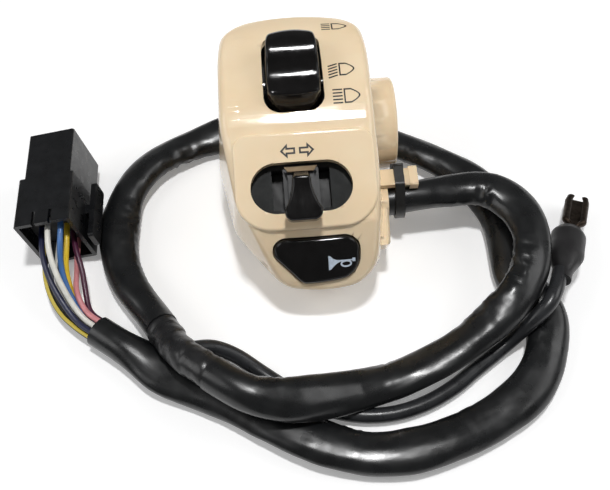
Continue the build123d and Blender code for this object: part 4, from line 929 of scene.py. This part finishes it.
def soft_boot(toward):
    """Rubber boot over the crimp, wider at its shoulder and a little dented."""
    middle, way, half = reach_of("branch_boot", toward)
    places = []
    rings = []
    for n in range(BOOT_ROWS + 1):
        share = n / BOOT_ROWS
        places.append(middle + way * (half * (2 * share - 1) - BOOT_BACK * (1 - share)))
        shoulder = ease((share - 0.08) / 0.42) * (1 - 0.55 * ease((share - 0.86) / 0.14) ** 2)
        wide = 0.0030 + 0.0029 * shoulder
        tall = 0.0028 + 0.0012 * shoulder
        ring = []
        for angle in turns(BOOT_SIDES):
            across = math.cos(angle)
            over = math.sin(angle)
            dent = 1 + 0.03 * wobble(across * 2, over * 2, share * 5)
            ring.append((wide * dent * across, tall * dent * over))
        rings.append(ring)
    return tube("soft_boot", places, rings, 2 * half)


class CLUSTER_OT_branch_end(bpy.types.Operator):
    """Makes the crimped terminal and the soft boot at the end of the branch"""

    bl_idname = "cluster.branch_end"
    bl_label = "Branch end"

    def execute(self, context):
        toward = Vector(BRANCH_ROUTE[-1]) - Vector(BRANCH_ROUTE[-2])
        brass = metal("tarnished_brass", tone(74, 64, 56), 0.42, 0.5)
        terminal = crimped_terminal(toward)
        finish_piece(terminal, brass)
        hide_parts("branch_terminal")
        rubber = plain_black("boot_rubber", tone(26, 25, 26), 0.4, 2600)
        boot = soft_boot(toward)
        finish_piece(boot, rubber)
        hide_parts("branch_boot")
        return {"FINISHED"}


# Forms of the housing

def drawn_in(across, along, share):
    """Factors that draw in a corner of a square outline, from the shares of its two half sizes."""
    return math.sqrt(1 - share * along * along / 2), math.sqrt(1 - share * across * across / 2)


def moulded_place(place, sizes):
    """Place in the housing's frame, in millimetres, that a point takes in the rounded moulding."""
    x, y, z = place
    if y > CROWN_START:
        across = max(-1.0, min(1.0, x / CROWN_HALF_WIDTH))
        along = min(1.0, (y - CROWN_START) / (CROWN_END - CROWN_START))
        narrow, short = drawn_in(across, along, sizes.crown_rounding)
        x = x * narrow
        y = y - (CROWN_END - CROWN_START) * along * along * (1 - short)
    elif y < CHIN_START:
        along = min(1.0, (CHIN_START - y) / (CHIN_START - CHIN_END))
        middle = CHIN_MIDDLE * along
        half = CROWN_HALF_WIDTH + (CHIN_HALF_WIDTH - CROWN_HALF_WIDTH) * along
        across = max(-1.0, min(1.0, (x - middle) / half))
        narrow, short = drawn_in(across, along, sizes.chin_rounding)
        x = middle + (x - middle) * narrow
        y = y + (CHIN_START - CHIN_END) * along * along * (1 - short)
    if place[1] < UNDERCUT_START:
        below = max(0.0, UNDERCUT_TOP - z)
        weight = ease((UNDERCUT_START - place[1]) / (UNDERCUT_START - CHIN_END))
        y += sizes.undercut * weight * below * below / (below + UNDERCUT_EASE)
    return Vector((x, y, z))


def rocker_place(place, sizes):
    """Place that a point takes in the rocker's rounded plan."""
    x, y, z = place
    along = max(-1.0, min(1.0, (y - ROCKER_MIDDLE) / ROCKER_HALF_LENGTH))
    across = max(-1.0, min(1.0, x / ROCKER_HALF_WIDTH))
    rounding = sizes.rocker_rounding * (1.0 if along > 0 else ROCKER_NEAR)
    narrow, short = drawn_in(across, along, rounding)
    far = ROCKER_FAR * max(0.0, along) ** 2
    return Vector((x * narrow, ROCKER_MIDDLE + (y - ROCKER_MIDDLE) * short * (1 - far), z))


def knob_place(place, sizes):
    """Place that a point takes in the knob, whose grip starts lower and runs out further."""
    x, y, z = place
    head = ease((PAD_UP.dot(Vector(place)) - KNOB_FOOT) / KNOB_FOOT_EASE)
    reach = ease((KNOB_WAIST - y) / KNOB_REACH_EASE)
    y -= sizes.knob_start / MM * ease((y - KNOB_GRIP_END) / KNOB_GRIP_EASE) * head
    narrow = 1 - KNOB_NARROWING * ease((y - KNOB_WAIST) / KNOB_WAIST_EASE)
    return Vector((x * narrow, y - sizes.knob_reach / MM * reach, z))


def formed_copy(node, cuts, form, sizes):
    """Copy of a solid, cut across on planes so that it can curve, and brought to its form."""
    name = node + "_moulding"
    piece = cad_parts[node].copy()
    piece.data = piece.data.copy()
    piece.name = name
    piece.data.name = name
    bpy.context.scene.collection.objects.link(piece)
    piece.hide_render = False
    select_only(piece)
    bpy.ops.object.mode_set(mode="EDIT")
    bpy.ops.mesh.select_all(action="SELECT")
    bpy.ops.mesh.remove_doubles(threshold=MERGE_DISTANCE)
    for axis, values in cuts.items():
        along = Vector([1.0 if axis == n else 0.0 for n in range(3)])
        for value in values:
            spot = HOUSING @ (along * (value * MM))
            bpy.ops.mesh.select_all(action="SELECT")
            bpy.ops.mesh.bisect(plane_co=spot, plane_no=HOUSING.to_3x3() @ along)
    bpy.ops.object.mode_set(mode="OBJECT")
    back = HOUSING.inverted()
    for vertex in piece.data.vertices:
        place = form((back @ vertex.co) / MM, sizes)
        vertex.co = HOUSING @ (place * MM)
    bpy.ops.object.shade_smooth_by_angle(angle=FORM_SHARP)
    even = piece.modifiers.new("even", "WEIGHTED_NORMAL")
    even.keep_sharp = True
    bpy.ops.object.modifier_apply(modifier="even")
    return piece


def steps(low, high, step):
    """Evenly spaced values from low to high."""
    count = round((high - low) / step)
    return [low + (high - low) * n / count for n in range(count + 1)]


class CLUSTER_OT_forms(bpy.types.Operator):
    """Rounds the housing, the horn button and its base, the rocker and the knob"""

    bl_idname = "cluster.forms"
    bl_label = "Rounded forms"

    def execute(self, context):
        sizes = context.scene.cluster_sizes
        colours = context.scene.cluster_colours
        cream = moulded_cream(colours)
        black = switch_black(colours)
        inner = plain_black("base_moulding", tone(30, 30, 32), 0.45, 1600)
        shell = {0: steps(-23.5, 24.5, 3), 1: steps(6, 33, 2.25) + steps(-60.4, -36.4, 2)}
        horn = {0: steps(-10, 17, 3), 1: steps(-58, -46, 2)}
        rocker = {0: steps(-8, 8, 1.6), 1: steps(-9, 17, 1.7)}
        knob = {1: steps(-46, -31, 1.5)}
        rows = [
            ("front_shell", shell, moulded_place, cream, "housing", "housing"),
            ("rear_shell", shell, moulded_place, cream, "housing", "housing"),
            ("horn_base", horn, moulded_place, inner, "black_frame", "housing"),
            ("horn_button", horn, moulded_place, black, "black_switch", "horn"),
            ("dimmer_rocker", rocker, rocker_place, black, "black_switch", "dimmer"),
            ("turn_knob", knob, knob_place, black, "black_switch", "turn_push"),
        ]
        for node, cuts, form, finish, slot, body in rows:
            piece = formed_copy(node, cuts, form, sizes)
            finish_piece(piece, finish, body)
            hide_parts(node)
        return {"FINISHED"}


# Finishes of the solids

class CLUSTER_OT_housing(bpy.types.Operator):
    """Finishes the housing's screws and the tie"""

    bl_idname = "cluster.housing"
    bl_label = "Housing"

    def execute(self, context):
        dress("clamp_screws", metal("screw_steel", tone(120, 120, 122), 0.34, 0.6))
        dress("cable_tie", plain_black("tie_nylon", tone(26, 26, 26), 0.36, 2200))
        return {"FINISHED"}


class CLUSTER_OT_switches(bpy.types.Operator):
    """Finishes the oval plate, the turn carriage and the pieces inside the switches"""

    bl_idname = "cluster.switches"
    bl_label = "Switches"

    def execute(self, context):
        colours = context.scene.cluster_colours
        dress("turn_bezel", plate_grey(colours))
        frame_black = plain_black("frame_moulding", tone(30, 30, 32), 0.45, 1600)
        for node in ("dimmer_frame", "turn_box"):
            dress(node, frame_black)
        dress("turn_carriage", carriage_black())
        steel = metal("bright_steel", tone(190, 190, 192), 0.25, 0.75)
        for node in (
            "rocker_pin", "dimmer_detent_ball", "dimmer_detent_spring", "dimmer_screws",
            "turn_detent_ball", "turn_detent_spring", "turn_screws", "horn_spring",
        ):
            dress(node, steel)
        # Dark laminate of the contact boards. Its black is also painted shade in the slots beside the
        # turn knob
        laminate = plain_black("contact_laminate_slot_shade", tone(20, 20, 21), 0.5, 1200)
        for node in ("dimmer_contact_board", "turn_contact_board"):
            dress(node, laminate)
        brass = metal("contact_brass", tone(212, 176, 108), 0.3, 0.7)
        for node in ("dimmer_wiper", "turn_wiper", "horn_wiper", "horn_contact"):
            dress(node, brass)
        return {"FINISHED"}


class CLUSTER_OT_plug(bpy.types.Operator):
    """Finishes the plug, its retainer and its pins"""

    bl_idname = "cluster.plug"
    bl_label = "Plug"

    def execute(self, context):
        colours = context.scene.cluster_colours
        dress("plug_housing", plain_black("plug_moulding", tuple(colours.plug), 0.3, 2400))
        dress("plug_retainer", plain_black("retainer_moulding", tone(20, 20, 22), 0.5, 2000))
        dress("plug_terminals", metal("pin_tin", tone(196, 192, 184), 0.3, 0.8))
        return {"FINISHED"}


# Signs

# Runs of a stroke in millimetres, and the height in metres from which a sign is laid down
STROKE_RUN = 0.5
SIGN_START = 0.06

# Lamp signs in millimetres: the place, then width, height, rays, a ray's length and slant, and gap
LAMP_SIGNS = {
    "sign_lamp_top": ((14.2, 23.8), (5.2, 3.9, 4, 2.9, 0.0, 0.45)),
    "sign_lamp_low": ((14.9, 2.9), (5.0, 5.0, 5, 3.0, 0.9, 0.5)),
    "sign_lamp_high": ((15.7, -7.0), (5.2, 5.1, 5, 3.1, 0.0, 0.45)),
}

# Arrows in millimetres: tail and tip along the bar, with the level and height of both
ARROW_SIGNS = {"sign_arrow_left": (-1.1, -5.9), "sign_arrow_right": (0.1, 4.9)}
ARROW_LEVEL = -23.8
ARROW_HEIGHT = 4.5

# The horn sign's place on the button's face, in metres, and its scale
HORN_SIGN_PLACE = (0.0075, -0.0006, 0.01)
HORN_SIGN_SCALE = 1.14


def outline_curve(name, shapes):
    """Flat curve filled between closed outlines, each a list of (x, y) in millimetres."""
    curve = bpy.data.curves.new(name, "CURVE")
    curve.dimensions = "2D"
    curve.fill_mode = "BOTH"
    for shape in shapes:
        spline = curve.splines.new("POLY")
        spline.points.add(len(shape) - 1)
        for target, (x, y) in zip(spline.points, shape):
            target.co = (x * MM, y * MM, 0, 1)
        spline.use_cyclic_u = True
    piece = bpy.data.objects.new(name, curve)
    bpy.context.scene.collection.objects.link(piece)
    return piece


def strokes(lines, width):
    """Outlines of straight strokes with square ends, cut into short runs that follow a surface."""
    shapes = []
    for (ax, ay), (bx, by) in lines:
        length = math.hypot(bx - ax, by - ay)
        ux = (bx - ax) / length
        uy = (by - ay) / length
        nx = -uy * width / 2
        ny = ux * width / 2
        count = max(2, round(length / STROKE_RUN))
        ahead = [(ax + ux * length * n / count, ay + uy * length * n / count) for n in range(count + 1)]
        left = [(x + nx, y + ny) for x, y in ahead]
        right = [(x - nx, y - ny) for x, y in reversed(ahead)]
        shapes.append(left + right)
    return shapes


def ring_shape(outline, width):
    """Two outlines, one inside the other, that leave a line of one width between them."""
    middle_x = sum(x for x, y in outline) / len(outline)
    middle_y = sum(y for x, y in outline) / len(outline)
    share_x = 1 - width / max(abs(x - middle_x) for x, y in outline)
    share_y = 1 - width / max(abs(y - middle_y) for x, y in outline)
    inner = [
        (middle_x + (x - middle_x) * share_x, middle_y + (y - middle_y) * share_y)
        for x, y in outline
    ]
    return [outline, inner]


def lamp_shapes(stroke, width, height, rays, ray_length, slant, gap):
    """Lamp sign: a bowl that runs to a blunt point on the right, and rays to its left."""
    straight = width * 0.42
    bowl = [(0, -height / 2 + height * n / 8) for n in range(9)]
    bowl += [(straight * n / 4, height / 2) for n in range(1, 5)]
    for n in range(1, 20):
        level = 1 - n / 10
        bowl.append((width - (width - straight) * abs(level) ** 1.7, height / 2 * level))
    bowl += [(straight * (4 - n) / 4, -height / 2) for n in range(0, 4)]
    lines = []
    for n in range(rays):
        y = height / 2 - stroke / 2 - (height - stroke) * n / (rays - 1)
        lines.append(((-gap, y), (-gap - ray_length, y - slant)))
    return ring_shape(bowl, stroke) + strokes(lines, stroke * 0.92)


def arrow_shapes(stroke, tail, tip, height):
    """Outlined arrow along X."""
    away = 1 if tip > tail else -1
    half = height / 2
    neck = tip - away * half * 1.05
    shaft = half * 0.44
    step = stroke * away
    upper = [(neck, half), (neck, shaft), (tail, shaft)]
    inset = [
        (neck + step, half - stroke * 2.1), (neck + step, shaft - stroke),
        (tail + step, shaft - stroke),
    ]
    outer = [(tip, 0)] + upper + [(x, -y) for x, y in reversed(upper)]
    inner = [(tip - step * 1.5, 0)] + inset + [(x, -y) for x, y in reversed(inset)]
    return [outer, inner]


def horn_shapes(stroke):
    """Horn sign in two shapes: a bell with its tube, and the coil below the tube."""
    bell = [
        (-3.7, 2.1), (-3.2, 1.95), (-2.4, 1.15), (-1.5, 0.72), (-0.4, 0.62), (1.2, 0.6),
        (2.9, 0.6), (2.9, 0.95), (3.7, 0.95), (3.7, -0.1), (2.9, -0.1), (2.9, 0.2), (1.2, 0.2),
        (-0.4, 0.14), (-1.3, -0.25), (-2.2, -0.95), (-3.1, -2.0), (-3.7, -2.1),
    ]
    coil = [(1.15 + x, -0.55 + y) for x, y in oval(1.6, 1.05, 32)]
    return {"sign_horn": [bell], "sign_horn_coil": ring_shape(coil, stroke * 0.95)}


def print_sign(name, shapes, place, carrier, ink, lift, body="housing"):
    """Lays a flat sign on a piece along the sign's own Z, and gives it the print's thickness."""
    piece = outline_curve(name, shapes)
    select_only(piece)
    bpy.ops.object.convert(target="MESH")
    piece.matrix_world = place
    wrap = piece.modifiers.new("lay", "SHRINKWRAP")
    wrap.target = bpy.data.objects[carrier]
    wrap.wrap_method = "PROJECT"
    wrap.use_project_z = True
    wrap.use_negative_direction = True
    wrap.use_positive_direction = False
    wrap.offset = lift
    bpy.ops.object.modifier_apply(modifier="lay")
    bpy.ops.object.transform_apply(location=True, rotation=True, scale=True)
    thick = piece.modifiers.new("print", "SOLIDIFY")
    thick.thickness = lift * 0.8
    thick.offset = 0
    bpy.ops.object.modifier_apply(modifier="print")
    finish_piece(piece, ink, body)


class CLUSTER_OT_signs(bpy.types.Operator):
    """Prints the lamp signs, the arrows and the horn sign"""

    bl_idname = "cluster.signs"
    bl_label = "Signs"

    def execute(self, context):
        sizes = context.scene.cluster_sizes
        colours = context.scene.cluster_colours
        stroke = sizes.sign_stroke / MM
        lift = sizes.sign_lift
        shell = "front_shell_moulding"
        ink = print_ink("sign_ink", tuple(colours.sign))
        for name, ((x, y), form) in LAMP_SIGNS.items():
            place = HOUSING @ Matrix.Translation((x * MM, y * MM, SIGN_START))
            print_sign(name, lamp_shapes(stroke, *form), place, shell, ink, lift)
        place = HOUSING @ Matrix.Translation((0, ARROW_LEVEL * MM, SIGN_START))
        for name, (tail, tip) in ARROW_SIGNS.items():
            shapes = arrow_shapes(stroke * 1.15, tail, tip, ARROW_HEIGHT)
            print_sign(name, shapes, place, shell, ink, lift)
        pale = print_ink("horn_sign_ink", tuple(colours.horn_sign))
        face = HOUSING @ Matrix.Translation([value * MM for value in HORN_FACE])
        face = face @ Matrix.Rotation(math.radians(HORN_SLOPE), 4, "X")
        place = face @ Matrix.Translation(HORN_SIGN_PLACE) @ Matrix.Scale(HORN_SIGN_SCALE, 4)
        for name, shapes in horn_shapes(stroke).items():
            print_sign(name, shapes, place, "horn_button_moulding", pale, lift, "horn")
        return {"FINISHED"}


# Stage

# Where the camera stands, in metres, and its own right, up and backward directions
CAMERA_PLACE = (-0.01047, -0.18697, 0.26105)
CAMERA_RIGHT = (0.9971, -0.0704, -0.0280)
CAMERA_UP = (0.0744, 0.8378, 0.5409)
CAMERA_BACK = (-0.0146, -0.5415, 0.8406)


def pale_floor(lift):
    """Wide pale floor that shows whiter to the camera and in reflections."""
    bpy.ops.object.select_all(action="DESELECT")
    bpy.ops.mesh.primitive_plane_add(size=6, location=(0, 0, 0))
    floor = bpy.context.active_object
    floor.name = "floor"
    bpy.ops.object.transform_apply(location=True, rotation=True, scale=True)
    sockets = {"Specular IOR Level": 0.2, "Emission Color": (1, 1, 1, 1)}
    material, tree, shader = new_surface("pale_floor", (0.96, 0.96, 0.96), 0.7, sockets)
    path = add_node(tree, "ShaderNodeLightPath")
    rays = {0: path.outputs["Is Camera Ray"], 1: path.outputs["Is Glossy Ray"]}
    seen = add_node(tree, "ShaderNodeMath", links=rays, operation="ADD")
    lit = add_node(
        tree, "ShaderNodeMath", {1: lift}, {0: seen.outputs["Value"]}, operation="MULTIPLY",
    )
    tree.links.new(lit.outputs["Value"], shader.inputs["Emission Strength"])
    floor.data.materials.append(material)


def softbox(name, place, width, depth, power):
    """Rectangular lamp that points at the middle of the table."""
    light = bpy.data.lights.new(name, "AREA")
    light.shape = "RECTANGLE"
    light.size = width
    light.size_y = depth
    light.energy = power
    lamp = bpy.data.objects.new(name, light)
    bpy.context.scene.collection.objects.link(lamp)
    turn = (-Vector(place)).to_track_quat("-Z", "Y").to_matrix().to_4x4()
    lamp.matrix_world = Matrix.Translation(place) @ turn


def pale_sky(strength):
    """Even white light from all round."""
    world = bpy.data.worlds.new("pale_sky")
    world.use_nodes = True
    sky = world.node_tree.nodes["Background"]
    sky.inputs["Color"].default_value = (1, 1, 1, 1)
    sky.inputs["Strength"].default_value = strength
    bpy.context.scene.world = world


def table_camera(lens):
    """Camera that sees the table as the photograph does."""
    camera = bpy.data.objects.new("camera", bpy.data.cameras.new("camera"))
    camera.data.sensor_fit = "HORIZONTAL"
    camera.data.sensor_width = 36
    camera.data.lens = lens
    camera.data.clip_start = 0.01
    turn = Matrix((CAMERA_RIGHT, CAMERA_UP, CAMERA_BACK)).transposed().to_4x4()
    camera.matrix_world = Matrix.Translation(CAMERA_PLACE) @ turn
    bpy.context.scene.collection.objects.link(camera)
    bpy.context.scene.camera = camera


class CLUSTER_OT_stage(bpy.types.Operator):
    """Sets the pale floor, the lamps, the sky and the camera"""

    bl_idname = "cluster.stage"
    bl_label = "Stage"

    def execute(self, context):
        settings = context.scene.cluster_stage
        pale_floor(settings.floor_lift)
        softbox("key_softbox", (0.034, -0.03, 1.0), 0.08, 0.10, settings.key_power)
        softbox("left_softbox", (-1.1, -0.1, 0.9), 0.9, 0.7, settings.fill_power)
        softbox("right_softbox", (1.1, 0.1, 0.9), 0.9, 0.7, settings.fill_power)
        pale_sky(settings.sky)
        table_camera(settings.lens)
        context.scene.view_settings.view_transform = "Standard"
        return {"FINISHED"}


# Panel and registration

OPERATORS = [
    CLUSTER_OT_stage, CLUSTER_OT_joint, CLUSTER_OT_branch_end, CLUSTER_OT_sleeves,
    CLUSTER_OT_wires, CLUSTER_OT_forms, CLUSTER_OT_housing, CLUSTER_OT_switches,
    CLUSTER_OT_signs, CLUSTER_OT_plug,
]


class CLUSTER_PT_pieces(bpy.types.Panel):
    """Lists the cluster's pieces in the sidebar"""

    bl_idname = "CLUSTER_PT_pieces"
    bl_label = "Switch cluster"
    bl_space_type = "VIEW_3D"
    bl_region_type = "UI"
    bl_category = "Cluster"

    def draw(self, context):
        scene = context.scene
        for group in (scene.cluster_colours, scene.cluster_sizes, scene.cluster_stage):
            for name in group.bl_rna.properties.keys():
                if name not in ("rna_type", "name"):
                    self.layout.prop(group, name)
        for operator in OPERATORS:
            self.layout.operator(operator.bl_idname)


GROUPS = {
    "cluster_colours": CLUSTER_PG_colours,
    "cluster_sizes": CLUSTER_PG_sizes,
    "cluster_stage": CLUSTER_PG_stage,
}


def register():
    """Registers the classes and the groups of settings."""
    for name, group in GROUPS.items():
        bpy.utils.register_class(group)
        setattr(bpy.types.Scene, name, PointerProperty(type=group))
    for operator in OPERATORS:
        bpy.utils.register_class(operator)
    bpy.utils.register_class(CLUSTER_PT_pieces)


def unregister():
    """Takes the classes and the groups of settings out again."""
    bpy.utils.unregister_class(CLUSTER_PT_pieces)
    for operator in reversed(OPERATORS):
        bpy.utils.unregister_class(operator)
    for name, group in GROUPS.items():
        delattr(bpy.types.Scene, name)
        bpy.utils.unregister_class(group)


def main():
    """Makes every piece in order."""
    register()
    bpy.ops.cluster.stage()
    bpy.ops.cluster.joint()
    bpy.ops.cluster.branch_end()
    bpy.ops.cluster.sleeves()
    bpy.ops.cluster.wires()
    bpy.ops.cluster.forms()
    bpy.ops.cluster.housing()
    bpy.ops.cluster.switches()
    bpy.ops.cluster.signs()
    bpy.ops.cluster.plug()


if __name__ == "__main__":
    main()
